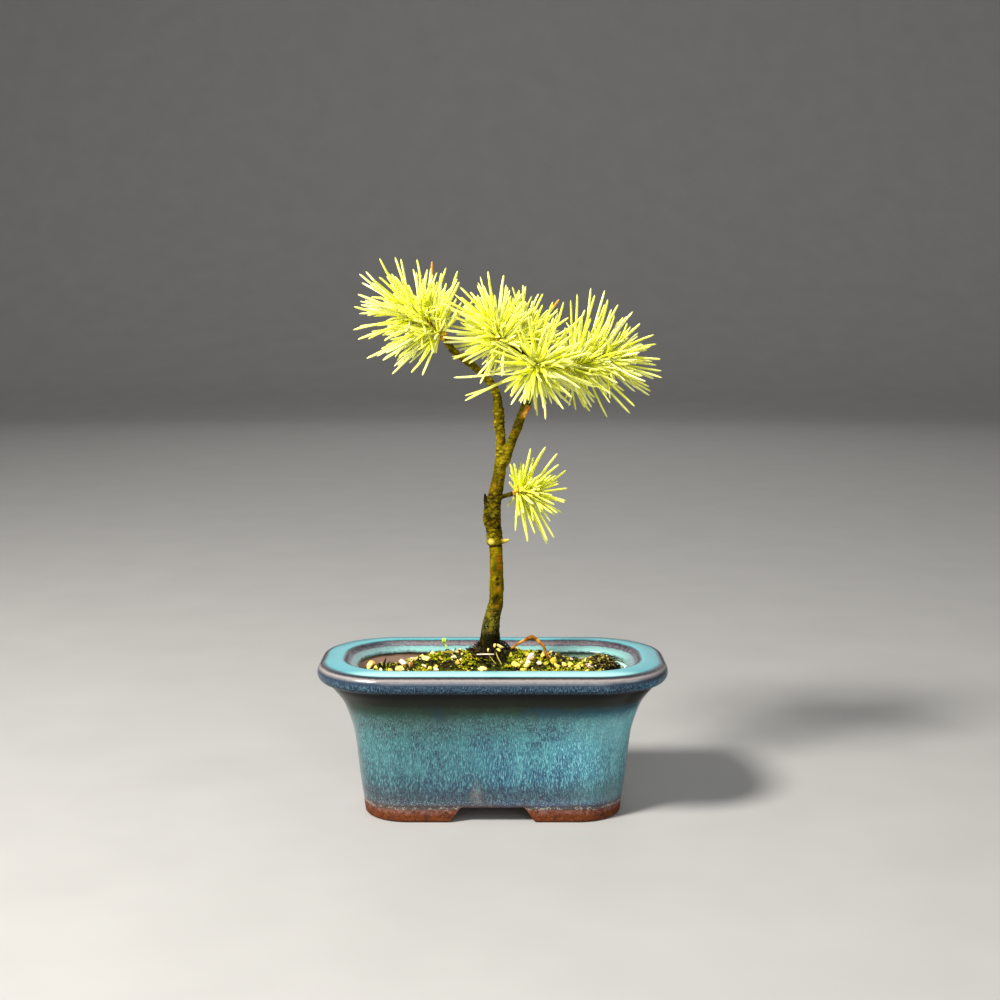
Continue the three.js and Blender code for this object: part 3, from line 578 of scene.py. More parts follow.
POT_INSIDE = [(56.3, 56.8), (56.3, 45.6), (53.9, 39), (52.3, 33), (51.1, 24), (50.0, 14),
              (48.6, 11.4), (46.5, 10.5)]
DRAIN_SIDES = 40
NO_RUN = -1.0


def arch_height(x, y, a, b):
    """How high the foot's underside is lifted by the arches at (x, y)."""
    front = abs(y) > abs(x) * b / a
    half, top = LONG_ARCH if front else SHORT_ARCH
    share = (half - (abs(x) if front else abs(y))) / (half - top)
    share = min(max(share, 0), 1)
    eased = share * share / (2 * ARCH_EASE) if share < ARCH_EASE else share - ARCH_EASE / 2
    return FOOT_HEIGHT * (0.8 * eased / (1 - ARCH_EASE / 2) + 0.2 * share * share * (3 - 2 * share))


def pot_rings():
    """Rings of the pot's skin, each with its run: how far up the profile its points lie, mm."""
    outside = smooth_line(POT_FOOT, 0.8)[:-1] + smooth_line(POT_OUTSIDE, 1.2)
    rows = FOOT_BOTTOM + outside + smooth_line(POT_LIP, 0.45) + POT_INSIDE
    first, outside_rows = len(FOOT_BOTTOM), len(FOOT_BOTTOM) + len(outside)
    steps = [math.hypot(b[0] - a[0], b[1] - a[1]) for a, b in zip(rows[first:], rows[first + 1:])]
    along = np.concatenate([np.full(first, NO_RUN), [0], np.cumsum(steps)])
    heights = [z for _, z in outside]
    for i, (a, z) in enumerate(rows):
        ring = plan_ring(a, z)
        run = np.full(len(ring), along[i])
        if z < ARCH_FADE_HEIGHT and 0 < i < outside_rows:
            b = depth_of(a, z)
            lifts = np.array([arch_height(x, y, a, b) for x, y, _ in ring])
            ring[:, 2] = lifts + z * (ARCH_FADE_HEIGHT - lifts) / ARCH_FADE_HEIGHT
        if first <= i < outside_rows:
            run = np.interp(ring[:, 2], heights, along[first:outside_rows])
        yield ring, run


def add_ring(bm, points, run):
    """The ring's points with their run, kept as a mark of the mesh."""
    layer = bm.verts.layers.float["run"]
    ring = [bm.verts.new(p * MM) for p in points]
    for v, r in zip(ring, run):
        v[layer] = r
    return ring


def add_drain_rings(bm, z):
    turns = even_turns(DRAIN_SIDES)
    run = np.full(DRAIN_SIDES, NO_RUN)
    return [add_ring(bm, circle(turns, DRAIN_RADIUS) + (x, 0, z), run)
            for x in (-DRAIN_X, DRAIN_X)]


def around(ring):
    """Each point of a ring with the next one."""
    return zip(ring, ring[1:] + ring[:1])


def join_rings(bm, low, high):
    for (a, b), (d, c) in zip(around(low), around(high)):
        bm.faces.new((a, b, c, d))


def make_pot():
    """The pot's skin; the two faces of its floor have a round hole over each drain."""
    bm = bmesh.new()
    bm.verts.layers.float.new("run")
    rings = [add_ring(bm, ring, run) for ring, run in pot_rings()]
    for low, high in zip(rings, rings[1:]):
        join_rings(bm, low, high)
    under, over = (add_drain_rings(bm, z) for z in FLOOR_HEIGHTS)
    for low, high in zip(under, over):
        join_rings(bm, high, low)
    for loops in ([rings[0], *under], [rings[-1], *over]):
        edges = [bm.edges.get(ends) for loop in loops for ends in around(loop)]
        bmesh.ops.triangle_fill(bm, edges=edges, use_beauty=True)
    bmesh.ops.recalc_face_normals(bm, faces=bm.faces)
    for f in bm.faces:
        f.smooth = len(f.verts) == 4
    mesh = bpy.data.meshes.new("pot_glazed")
    bm.to_mesh(mesh)
    bm.free()
    return mesh


# Bands of the glaze up the outside, over the lip and down the inside, with painted shade under the
# lip, a painted highlight on the lip's upper edge, a painted shadow under the inner lip and painted
# light on the inner wall: (run in mm, colour)
GLAZE_BANDS = [
    (4.4, (52, 34, 26)), (6.2, (44, 36, 40)), (8, (40, 50, 72)), (11, (26, 58, 90)),
    (15, (28, 82, 106)), (22, (46, 112, 128)), (33, (56, 130, 140)), (41, (62, 120, 118)),
    # Painted shade under the lip: the olive glaze there darkens to near black
    (45.5, (52, 78, 64)), (50, (28, 34, 22)), (55, (12, 12, 7)), (59.4, (6, 6, 11)),
    # The mauve stops at 65.6 and 66.3 are the glaze's mauve break with a painted highlight on the
    # lip's rounded upper edge
    (60.8, (16, 28, 42)), (64.6, (38, 52, 68)), (65.6, (118, 112, 112)), (66.3, (148, 138, 134)),
    (66.8, (12, 14, 28)), (67.9, (12, 18, 34)), (69.4, (60, 138, 148)), (75.5, (68, 150, 158)),
    (76.1, (20, 16, 24)), (76.9, (84, 72, 80)), (78.2, (112, 100, 104)), (78.8, (40, 34, 42)),
    # The dark stops at 84.1 and 85.5 are a painted shadow under the lip's inner edge
    (79.5, (100, 144, 142)), (82.4, (112, 166, 158)), (83.4, (74, 98, 98)), (84.1, (20, 14, 14)),
    # The pale clay stops at 87.2 and 88.2 are lightened as painted light on the inner wall that the
    # lip shades
    (85.5, (14, 9, 8)), (86.3, (70, 34, 22)), (87.2, (206, 160, 142)), (88.2, (240, 206, 192)),
]
BANDS_END = 120.0
# The run at the middle of the lip, and the middle of a worn place above the foot, mm
LIP_MIDDLE = 67.0
WORN_X = -6.4


class Glaze(Material):
    """The pot's glaze in bands, with its runs and dashes, and the bare clay of its foot.

    The methods named after a part or a look give layers to paint, as (colour, amount).
    """

    def __init__(self):
        super().__init__("glaze", Roughness=0.2, IOR=1.5, Coat_Roughness=0.1)
        self.run = run = self.mark("run")
        self.x, self.y, _ = self.axes()
        self.wobble = self.noise(0.55, 4.0, 0.6)
        self.slow = self.noise(0.06, 2.0, 0.5)
        self.dashes = self.noise(1.0, 3.0, 0.75, self.place((2.6, 2.6, 0.5)))
        self.flecks = self.noise(1.0, 3.0, 0.75, self.place((3.4, 3.4, 0.75), (7, 3, 1)))
        self.specks = self.noise(3.0, 2.0, 0.7)
        self.grain = self.noise(1.1, 4.0, 0.7)

        # The bands waver, but are even near the lip
        from_lip = abs(run - LIP_MIDDLE)
        sway = (self.wobble - 0.5) * from_lip.step(8.0, 14.0, 0.7, 3.2)
        self.shifted = run + sway + (self.slow - 0.5) * from_lip.step(10, 25, 0, 9)
        self.on_body = run.step(5.6, 9) * run.step(52, 44)
        self.clear = run.step(5.6, 9) * self.shifted.step(47, 39)
        self.edge = run + (self.wobble - 0.5) * 2.4
        self.foot = self.edge.step(4.5, 3.9)

    def complete(self):
        bands = (self.shifted / BANDS_END).ramp(*[(p / BANDS_END, c) for p, c in GLAZE_BANDS])
        colour = self.paint(
            bands, *self.rim(), *self.clouds(), *self.strokes(), *self.low_specks(), *self.lip(),
            *self.shades(), *self.inside_and_foot())
        rough = (self.foot * 0.7).larger(self.flecks.step(0.3, 0.8, 0.14, 0.3))
        relief = self.dashes * 0.35 + self.grain * (self.foot * 0.6)
        # The glaze is thin and dull under the lip
        gloss = self.run.step(48, 40).larger(self.run.step(62, 66)) * self.edge.step(4.0, 5.0)
        return self.finish(
            Base_Color=colour, Roughness=rough, Specular_IOR_Level=gloss.step(0, 1, 0.12, 0.5),
            Coat_Weight=gloss * 0.3,
            Normal=self.bump(relief, 0.12, 0.6, self.bump(self.slow, 1.2, 0.4)))

    def rim(self):
        """The rim, with a painted highlight along its front, and the slope inside it, duller at the
        left.
        """
        run, x, y, wobble = self.run, self.x, self.y, self.wobble
        top = run.step(68.0, 69.4) * run.step(76.0, 75.2)
        inner = run.step(75.6, 76.6) * run.step(84.0, 83.0)
        ring = run.step(75.8, 76.6) * run.step(79.2, 78.4)
        side = y.step(14, -4).larger(x.step(-30, -50))
        return [
            # Painted highlight: the rim's top is paler along the front
            ((164, 214, 206), top * y.step(-26, -33) * 0.8),
            ((66, 84, 92), inner * side * wobble.step(0.3, 0.7, 0.35, 0.8)),
            ((190, 196, 200), inner * self.specks.step(0.56, 0.66) * 0.5),
            ((34, 26, 34), ring * (abs(x).step(36, 54) * wobble.step(0.3, 0.6, 0.4, 0.9))),
        ]

    def clouds(self):
        """Clouds, bluer at the right, greener at the left and paler where the glaze ran; the pale
        smears grow stronger towards the right as painted light.
        """
        x, on_body = self.x, self.on_body
        smears = self.noise(1.0, 3.0, 0.6, self.place((0.45, 0.45, 0.1), (3, 5, 2)))
        return [
            ((26, 84, 124), (self.slow + x * 0.003).step(0.44, 0.68) * on_body * 0.5),
            ((72, 112, 90), x.step(5, -50) * on_body * 0.25),
            # The pale smears are stronger towards the right, painted light on that side
            ((96, 170, 176), smears.step(0.5, 0.66) * self.clear * x.step(0, 55, 0.3, 0.5)),
        ]

    def strokes(self):
        """Dark dashes in clusters and pale ones between them; the pale ones grow stronger towards
        the right as painted light.
        """
        x, dashes, flecks, clear = self.x, self.dashes, self.flecks, self.clear
        cluster = self.noise(0.12, 3.0, 0.6).step(0.36, 0.6, 0.35, 1.0)
        heavy = cluster.larger(self.run.step(24, 14)) * clear
        return [
            ((12, 44, 72), dashes.step(0.51, 0.56) * heavy * 0.9),
            # The pale dashes and flecks are stronger towards the right, painted light on that side
            ((128, 198, 198), dashes.step(0.46, 0.39) * clear * x.step(0, 55, 0.55, 0.8)),
            ((8, 24, 42), flecks.step(0.57, 0.63) * heavy * 0.8),
            ((168, 224, 224), flecks.step(0.4, 0.34) * clear * x.step(0, 55, 0.5, 0.9)),
        ]

    def low_specks(self):
        """Mauve and white specks in the dark band at the foot."""
        band = self.run.step(15, 9) * self.run.step(5.6, 6.6)
        return [
            ((70, 70, 112), self.specks.step(0.47, 0.4) * band * 0.3),
            ((170, 186, 198), self.specks.step(0.57, 0.63) * band * 0.8),
        ]

    def lip(self):
        """Streaks on the lip's face, bluer at its right end."""
        band = self.run.step(59.5, 61.5) * self.run.step(64.5, 62.6)
        streaks = self.noise(1.0, 3.0, 0.7, self.place((3.0, 3.0, 0.7))).step(0.49, 0.64)
        right = self.x.step(50, 66) * self.dashes.step(0.5, 0.58)
        return [
            ((100, 138, 158), streaks * band * 0.75),
            ((70, 150, 190), right * (band * 0.7)),
        ]

    def shades(self):
        """Shade on the left half and the lowest part, light on the right, and a worn place."""
        run, x, y = self.run, self.x, self.y
        shade = x.step(55, -35, 0.0, 0.42).larger(run.step(21, 10, 0.0, 0.62))
        light = x.step(18, 58) * run.step(22, 38, 0.2, 0.55)
        worn = (abs(x - WORN_X).step(4.0, 0.5) * y.step(-10, -20)
                * (run.step(5.6, 8) * run.step(19, 10)))
        return [
            ((6, 8, 10), shade * self.on_body),
            ((120, 196, 200), light * self.clear),
            ((112, 106, 102), worn * self.wobble.step(0.35, 0.6, 0.1, 0.5)),
        ]

    def inside_and_foot(self):
        """The inner wall, its turquoise at the right and pink clay at the left lightened as painted
        light under the lip's shade, the crust over the foot and the bare clay of the foot.
        """
        x, edge = self.x, self.edge
        clay = self.grain.ramp(
            (0.3, (66, 30, 8)), (0.5, (90, 44, 16)), (0.64, (108, 58, 28)), (0.78, (168, 112, 86)))
        haze = edge.step(1.6, 3.8) * self.wobble.step(0.35, 0.65, 0.1, 0.55)
        drips = self.noise(0.32, 3.0, 0.6).step(0.52, 0.66) * 0.6
        clay = self.paint(clay, ((136, 100, 96), haze), ((34, 22, 24), drips))
        crust = (edge.step(5.9, 4.9) * self.specks.step(0.5, 0.58)
                 * self.noise(0.3, 2.0, 0.5).step(0.46, 0.58, 0.15, 0.9))
        return [
            # Painted light: the inner wall's turquoise and clay are lightened where the lip shades
            # the wall
            ((214, 255, 244), x.step(-10, 12) * self.shifted.step(84.9, 85.8)),
            ((255, 208, 188), x.step(-20, -30) * self.shifted.step(85.2, 86.2)),
            ((192, 184, 172), crust),
            (clay, self.foot),
        ]


# Soil

# The swell of earth round the trunk's foot: its middle, half widths and height, mm
COLLAR_X = -1.0
COLLAR_SPREAD = (5.6, 4.6)
COLLAR_HEIGHT = 3.6
# How far the earth lies under the solid model's soil, and how far litter covers it, mm
BED_DEPTH = 1.5
TRUNK_LITTER = 8.4
MOUND_LITTER = 7.6
# Spreads of the mound, in mm squared, as drawn in the solid model and in the earth
MOUND_SPREAD = 64.0
BED_MOUND_SPREAD = 34.0


def heap_share(x, y):
    return np.exp(-(x / HEAP_SPREAD[0]) ** 4 - (y / HEAP_SPREAD[1]) ** 2)


def mound_share(x, y, spread):
    return np.exp(-((x - MOUND[0]) ** 2 + (y - MOUND[1]) ** 2) / spread)


def soil_height(x, y):
    """The surface of the solid model's soil."""
    ripple = 0.35 * np.sin(x * 0.41 + 1.3) * np.cos(y * 0.53 + x * 0.17)
    return (SOIL_EDGE_HEIGHT + HEAP_HEIGHT * heap_share(x, y)
            + MOUND_HEIGHT * mound_share(x, y, MOUND_SPREAD) + ripple)


def bed_height(x, y):
    """The earth itself, which lies under the moss and grit."""
    collar = np.exp(-(((x - COLLAR_X) / COLLAR_SPREAD[0]) ** 2 + (y / COLLAR_SPREAD[1]) ** 2))
    return (soil_height(x, y) - BED_DEPTH - 0.6 * heap_share(x, y) + COLLAR_HEIGHT * collar
            + 1.2 * mound_share(x, y, BED_MOUND_SPREAD))


def shaded_by_litter(x, y):
    """How much dark litter covers the place, from 0 to 1."""
    trunk = bell(np.hypot((x - COLLAR_X) / 1.15, y), TRUNK_LITTER, 4)
    return np.maximum(trunk, bell(np.hypot(x - MOUND[0], y - MOUND[1]), MOUND_LITTER, 4))


def on_soil(x, y, margin):
    """Whether (x, y) lies inside the soil's outline, margin mm from the pot's wall."""
    a = SOIL_HALF_LENGTH - margin
    b = depth_of(a, SHOULDER_HEIGHT)
    r = RIM_CORNER_RADIUS - (RIM_HALF_LENGTH - SOIL_HALF_LENGTH) * CORNER_GROWTH - margin
    dx, dy = max(abs(x) - (a - r), 0), max(abs(y) - (b - r), 0)
    return math.hypot(dx, dy) < r and abs(x) < a and abs(y) < b


def from_trunk(x, y):
    return math.hypot(x - TRUNK_FOOT_X, y)


# The soil against the pot's wall as (half length of the plan, height), mm
SOIL_WALL = [(46.5, 10.85), (48.25, 11.6), (49.65, 14.2), (50.75, 24.2), (51.95, 33.2),
             (53.55, 39.2), (55.95, 45.8)]
SOIL_PLACES = (np.linspace(0, math.pi / 2, 17), np.linspace(-1, 1, 31)[1:-1],
               np.linspace(-1, 1, 7)[1:-1])
SURFACE_RINGS = np.linspace(1, 0.02, 60)


def make_soil_bed():
    """The earth in the pot, closed at the floor."""
    rings = [plan_ring(a, z, 1.0, SOIL_PLACES) for a, z in SOIL_WALL]
    for scale in SURFACE_RINGS:
        ring = plan_ring(SOIL_HALF_LENGTH, SHOULDER_HEIGHT, scale, SOIL_PLACES)
        ring[:, 2] = bed_height(ring[:, 0], ring[:, 1])
        rings.append(ring)
    columns = len(rings[0])
    points = np.concatenate(rings)
    top = len(SOIL_WALL) * columns
    points[top:, 2] += 0.8 * noise_at(points[top:], 0.42, 1.0, 4)
    points = np.concatenate([points, [points[:columns].mean(0), points[-columns:].mean(0)]])
    marks = {"litter": shaded_by_litter(points[:, 0], points[:, 1])}
    return make_mesh("soil_bed", points, tube_faces(len(rings), columns), marks)


def ico(levels):
    """Points and faces of a unit ball."""
    bm = bmesh.new()
    bmesh.ops.create_icosphere(bm, subdivisions=levels, radius=1.0)
    points = np.array([v.co[:] for v in bm.verts])
    faces = [tuple(v.index for v in f.verts) for f in bm.faces]
    bm.free()
    return points, faces


def turned(points, angles):
    """Points turned about X, then Y, then Z; the angles are given from Z to X."""
    ca, cb, cc = np.cos(angles)
    sa, sb, sc = np.sin(angles)
    rz = np.array([[ca, -sa, 0], [sa, ca, 0], [0, 0, 1]])
    ry = np.array([[cb, 0, sb], [0, 1, 0], [-sb, 0, cb]])
    rx = np.array([[1, 0, 0], [0, cc, -sc], [0, sc, cc]])
    return points @ (rz @ ry @ rx).T


BALL, BALL_FACES = ico(2)
STONE_CUTS = 9


def stone(radius, flat, rough):
    """Points of an irregular, blocky stone about the origin, mm."""
    points = BALL * (1 + rough * noise_at(BALL, 1.1, rng.uniform(0, 90), 2))[:, None]
    for _ in range(STONE_CUTS):
        way = unit(rng.normal(size=3))
        over = np.maximum(points @ way - rng.uniform(0.3, 0.68), 0)
        points = points - np.outer(over, way) * 0.95
    points = points * radius * np.array([1.2, rng.uniform(0.7, 1.0), flat]) * 1.15
    tilt = rng.uniform(-0.5, 0.5, 3)
    return turned(points, tilt + np.array([rng.uniform(0, STONE_TURN), 0, 0]))


def solid_grit():
    """The larger stones of the solid model: (x, y, radius, turn)."""
    roots = [q for line in [ARCHED_ROOT, *SURFACE_ROOTS] for q in line]
    for i in range(GRIT_COUNT):
        share, angle = math.sqrt((i + 0.5) / GRIT_COUNT), i * GOLDEN_ANGLE
        x = GRIT_SPREAD[0] * share * math.cos(angle)
        y = GRIT_SPREAD[1] * share * math.sin(angle)
        near = any(math.hypot(x - q[0], y - q[1]) < GRIT_FROM_ROOTS for q in roots)
        if from_trunk(x, y) > GRIT_FROM_TRUNK and not near:
            yield x, y, between(*GRIT_RADII, scatter(i)), 2 * math.pi * scatter(i + 0.5)


# The half length and half depth that seeded places lie in, and their gap to the trunk, mm
SEEDED_REACH = (54.0, 21.0)
SEEDED_FROM_TRUNK = 5.2


def place_on_soil(count, margin):
    """Seeded places on the soil, evenly spread."""
    placed = []
    while len(placed) < count:
        x, y = (rng.uniform(-reach, reach) for reach in SEEDED_REACH)
        if on_soil(x, y, margin) and from_trunk(x, y) > SEEDED_FROM_TRUNK:
            placed.append((x, y))
    return placed


# Tones of the small stones and their shares
GRIT_TONES = [0.05, 0.2, 0.3, 0.4, 0.48, 0.56, 0.65, 0.75]
GRIT_SHARES = [0.17, 0.08, 0.2, 0.06, 0.05, 0.18, 0.16, 0.1]
SMALL_STONES = 900
MOUND_START_X = 36
COVERED = 0.4
DARK_SHARE, DARK_SHARE_IN_LITTER = 0.42, 0.7
MOUND_LIFT = 1.3
SMALLEST_STONE = 0.4


def make_grit():
    """The solid model's stones, the named ones and small ones, darker where litter lies."""
    soup = Soup()
    for x, y, radius, turn in solid_grit():
        points = stone(radius * 0.9, 0.72, 0.22)
        z = float(bed_height(x, y)) + (0.45 if y < 0 else 0.2) * radius
        tone = rng.choice(GRIT_TONES, p=GRIT_SHARES)
        soup.add(turned(points, (turn, 0, 0)) + (x, y, z), BALL_FACES, tone=tone)
    for x, y, z, radius, tone in NAMED_STONES:
        soup.add(stone(radius, 0.85, 0.25) + (x, y, z), BALL_FACES, tone=tone)
    for x, y in place_on_soil(SMALL_STONES, margin=0.8):
        cover = float(shaded_by_litter(x, y))
        covered = cover > COVERED
        radius = (SMALLEST_STONE + rng.random() ** 2.6) * (1 - 0.45 * cover)
        points = stone(radius, 0.75, 0.3)
        lift = rng.uniform(0.4, 1.2) if y < 2 or covered else rng.uniform(0, 0.5)
        z = float(bed_height(x, y)) + lift * min(radius, 1.0)
        in_litter = covered and x < MOUND_START_X
        dark = rng.random() < (DARK_SHARE_IN_LITTER if in_litter else DARK_SHARE)
        if covered and x > MOUND_START_X and not dark:
            z += MOUND_LIFT
        tone = rng.uniform(0.76, 1) if dark else rng.choice(GRIT_TONES, p=GRIT_SHARES)
        soup.add(points + (x, y, z), BALL_FACES, tone=tone)
    return soup.mesh("soil_grit", smooth_faces=False)


BLADE_FACES = [(0, 2, 1), (0, 1, 4, 3), (3, 4, 6), (1, 2, 5, 4), (4, 5, 6), (2, 0, 3, 5), (5, 3, 6)]
BLADE_SHARES = np.array([0, 0, 0, 0.55, 0.55, 0.55, 1.0])
BLADE_WIDTH = 0.27
MOSS_PLACES = 1500
BLADES_EACH = (5, 11)
BLADE_LENGTHS = (1.4, 2.9)


def add_blade(soup, foot, lean, length, tone):
    """A thin leaf with a triangular section that ends in a point, mm."""
    middle = foot + (lean * 0.35 + np.array([0, 0, 0.9])) * length * 0.5
    tip = foot + (lean * 0.85 + np.array([0, 0, 0.75])) * length
    ring = circle(rng.uniform(0, 2.1) + np.arange(3) * THIRD_TURN, BLADE_WIDTH)
    points = np.concatenate([foot + ring * 0.8, middle + ring, [tip]])
    soup.add(points, BLADE_FACES, along=BLADE_SHARES, tone=tone)


def make_moss():
    """Patches of moss on the bare soil, each place with a few blades."""
    soup = Soup()
    for x, y in place_on_soil(MOSS_PLACES, margin=1.2):
        patch = noise.noise(Vector((x * 0.12, y * 0.17, 3.7)))
        if patch < rng.uniform(-0.25, 0.05) or shaded_by_litter(x, y) > 0.5 * rng.random() + 0.3:
            continue
        root = np.array([x, y, float(bed_height(x, y)) - 0.2])
        tone = 0.5 + 0.55 * noise.noise(Vector((x * 0.35, y * 0.35, 9.1)))
        low = rng.uniform(0.7, 1.15) if y < 0 else 0.6
        for _ in range(int(rng.uniform(*BLADES_EACH))):
            turn, lean = rng.uniform(0, FULL_TURN), rng.uniform(0.0, 1.2)
            out = level_way(turn)
            foot = root + out * rng.uniform(0, 0.9)
            length = rng.uniform(*BLADE_LENGTHS) * low
            if on_soil(*(foot + out * lean * length)[:2], margin=0.3):
                add_blade(soup, foot, out * lean, length, tone + rng.uniform(-0.2, 0.2))
    return soup.mesh("soil_moss")


FIBRES = 1900
FIBRE_RADII = [0.2, 0.22, 0.07]
FIBRE_LENGTHS = (1.2, 3.2)
# Where fibres lie, mm: their scatter about the mound, ranges of X and Y, and gaps to the trunk
MOUND_SCATTER = (3.4, 2.6)
FIBRES_X, FIBRES_Y = (-52, 52), (-19, 14)
NEAREST_FIBRE, FARTHEST_FIBRE = 3.6, 9.4
# Tones and shares of the fibres on the mound and of the others
MOUND_TONES = ([0.05, 0.25, 0.48, 0.62], [0.34, 0.26, 0.2, 0.2])
FIBRE_TONES = ([0.05, 0.2, 0.35, 0.45], [0.4, 0.35, 0.2, 0.05])
SPROUT_TOP = np.array([-20.0, 4.0, 66.9])
SPROUT_LEAVES = 9
LEAF_RADII = [0.2, 0.4, 0.06]
LITTER_SAMPLES = 17


def fibre_place(k):
    """The place and lift of a fibre: one in four on the mound, one anywhere, two at the trunk."""
    if k % 4 == 0:
        return *(MOUND + rng.normal(size=2) * MOUND_SCATTER), rng.uniform(0.1, 1.3)
    if k % 4 == 1:
        return rng.uniform(*FIBRES_X), rng.uniform(*FIBRES_Y), rng.uniform(0.2, 1.2)
    turn, far = rng.uniform(0, FULL_TURN), rng.uniform(NEAREST_FIBRE, FARTHEST_FIBRE)
    lift = rng.uniform(0.1, 1.0) + max(0, 6.4 - far) * rng.uniform(0.0, 0.5)
    return far * math.cos(turn) - 1, far * 0.85 * math.sin(turn), lift


def add_fibre(soup, k):
    """A bent fibre on the soil, unless it would reach the pot or the trunk."""
    x, y, lift = fibre_place(k)
    if not on_soil(x, y, margin=1.5):
        return
    out = level_way(rng.uniform(0, FULL_TURN))
    foot = np.array([x, y, float(bed_height(x, y)) + lift - 0.4])
    length = rng.uniform(*FIBRE_LENGTHS)
    middle = foot + out * length * 0.5 + (0, 0, rng.uniform(0.1, 0.9))
    tip = foot + out * length + (0, 0, rng.uniform(-0.6, 1.5 if k % 4 > 1 else 0.8))
    if on_soil(*tip[:2], margin=0.6) and from_trunk(*tip[:2]) > NEAREST_FIBRE:
        tones, shares = FIBRE_TONES if k % 4 else MOUND_TONES
        soup.add(*tube([foot, middle, tip], FIBRE_RADII, 4), tone=rng.choice(tones, p=shares))


def make_litter():
    """Dark fibres, rootlets and a sprout."""
    soup = Soup()
    for k in range(FIBRES):
        add_fibre(soup, k)
    shares = np.linspace(0, 1, LITTER_SAMPLES)
    for line, radii, tone in LITTER_LINES:
        radii = np.interp(shares, [0, 0.5, 1], radii)
        soup.add(*tube(Curve(line).samples(LITTER_SAMPLES), radii, 8), tone=tone)
    for leaf in range(SPROUT_LEAVES):
        lean = level_way(leaf * SPIRAL_TURN) * rng.uniform(0.3, 0.9)
        line = [SPROUT_TOP, SPROUT_TOP + lean + (0, 0, 0.8), SPROUT_TOP + lean * 1.5 + (0, 0, 2.1)]
        soup.add(*tube(line, LEAF_RADII, 5), tone=0.9)
    return soup.mesh("soil_litter")


def soil_material():
    m = Material("soil", Roughness=0.95, Specular_IOR_Level=0.08)
    grain = m.noise(0.9, 5.0, 0.7)
    earth = grain.ramp((0.3, (10, 8, 3)), (0.5, (34, 26, 10)), (0.7, (80, 64, 24)))
    green = grain.ramp((0.3, (16, 18, 2)), (0.55, (60, 66, 6)), (0.75, (130, 134, 20)))
    dark = grain.ramp((0.4, (6, 5, 3)), (0.75, (44, 34, 22)))
    colour = m.paint(
        earth, (green, m.noise(0.16, 3.0, 0.6).step(0.4, 0.52)), (dark, m.mark("litter")))
    return m.finish(Base_Color=colour, Normal=m.bump(grain, 0.8, 0.9))


def grit_material():
    m = Material("grit", Specular_IOR_Level=0.14)
    base = m.mark("tone").ramp(
        (0.0, (236, 212, 128)), (0.14, (246, 230, 186)), (0.27, (226, 200, 92)),
        (0.36, (222, 170, 90)), (0.43, (238, 208, 186)), (0.52, (172, 158, 44)),
        (0.6, (124, 112, 26)), (0.7, (70, 62, 14)), (0.8, (42, 32, 14)), (0.9, (20, 16, 10)),
        mode="CONSTANT")
    grain = m.noise(1.6, 4.0, 0.7)
    colour = m.paint(base, ((104, 90, 16), grain.step(0.5, 0.7) * 0.6))
    return m.finish(Base_Color=colour, Roughness=grain.step(0.3, 0.7, 0.55, 0.85),
                    Normal=m.bump(grain, 0.25, 0.8))


def moss_material():
    m = Material("moss", Specular_IOR_Level=0.1)
    tip = m.mark("tone").ramp(
        (0.0, (76, 96, 0)), (0.35, (146, 162, 2)), (0.6, (206, 204, 10)), (0.8, (226, 200, 36)),
        (1.0, (96, 108, 2)))
    colour = m.paint((16, 15, 0), (tip, m.mark("along").step(0.15, 1.0)))
    return m.finish(Base_Color=colour, Roughness=m.noise(0.7, 2.0, 0.5))


def litter_material():
    m = Material("litter", Specular_IOR_Level=0.12)
    grain = m.noise(1.8, 3.0, 0.6)
    base = m.mark("tone").ramp(
        (0.0, (10, 8, 6)), (0.3, (34, 25, 12)), (0.45, (92, 72, 34)), (0.62, (150, 138, 60)),
        (0.75, (236, 218, 200)), (0.9, (184, 222, 76)))
    colour = m.paint(base, ((30, 22, 10), grain.step(0.5, 0.7) * 0.35))
    return m.finish(Base_Color=colour, Roughness=grain.step(0.3, 0.7, 0.6, 0.85),
                    Normal=m.bump(grain, 0.1, 0.6))


# Tree

BARK_SIDES = 20
BARK_STEP = 0.5
BARK_VOXEL = 0.24
SCARS = 190
# Where the arched root, the low twig and the bud spur show on the bark, mm
ROOT_START_X, ROOT_BEND_X, ROOT_TOP = 6.9, 15.9, 75
LOW_TWIG_START_X, LOW_TWIG_HEIGHT, LOW_TWIG_REACH = 3.0, 129, 3.2
BUD_END_X, BUD_HEIGHT, BUD_REACH = -1.9, 127.0, 3.6
# The middle of the graft and how far its ring reaches, mm
GRAFT_X, GRAFT_REACH = 1.2, 5
# The right leader gets a painted shade from this place on, where the tufts over it shade it, mm
LEADER_SHADE_X, LEADER_SHADE_HEIGHT = 8, 160.0
# The top of the flaky bark, how far it fades, and the stretch with few cracks, mm
FLAKY_TOP, FLAKY_FADE = 84, 16
EVEN_BARK = (86, 112)
# The round end of a stub: places along it and radii, as shares of its last radius
STUB_PLACES, STUB_RADII = [0.45, 0.8, 0.95], np.array([0.88, 0.55, 0.15])


def radius_at(line, shares):
    return np.interp(shares * (len(line) - 1), range(len(line)), [q[3] for q in line])


def limb_tube(line):
    """A limb as a tube; a stub gets a round end and the arched root swells at its bend."""
    curve = Curve(line)
    shares = np.linspace(0, 1, max(4, round(curve.length() / BARK_STEP)) + 1)
    centres = curve.samples(len(shares))
    radii = radius_at(line, shares)
    if line in STUBS:
        last, way = radii[-1], curve.along(1)
        centres = np.concatenate([centres, centres[-1] + np.outer(STUB_PLACES, way * last)])
        radii = np.append(radii, last * STUB_RADII)
    if line is ARCHED_ROOT:
        radii *= 0.78 + 0.3 * bell(centres[:, 0] - ROOT_BEND_X, 1.2)
    return tube(centres, radii, BARK_SIDES)


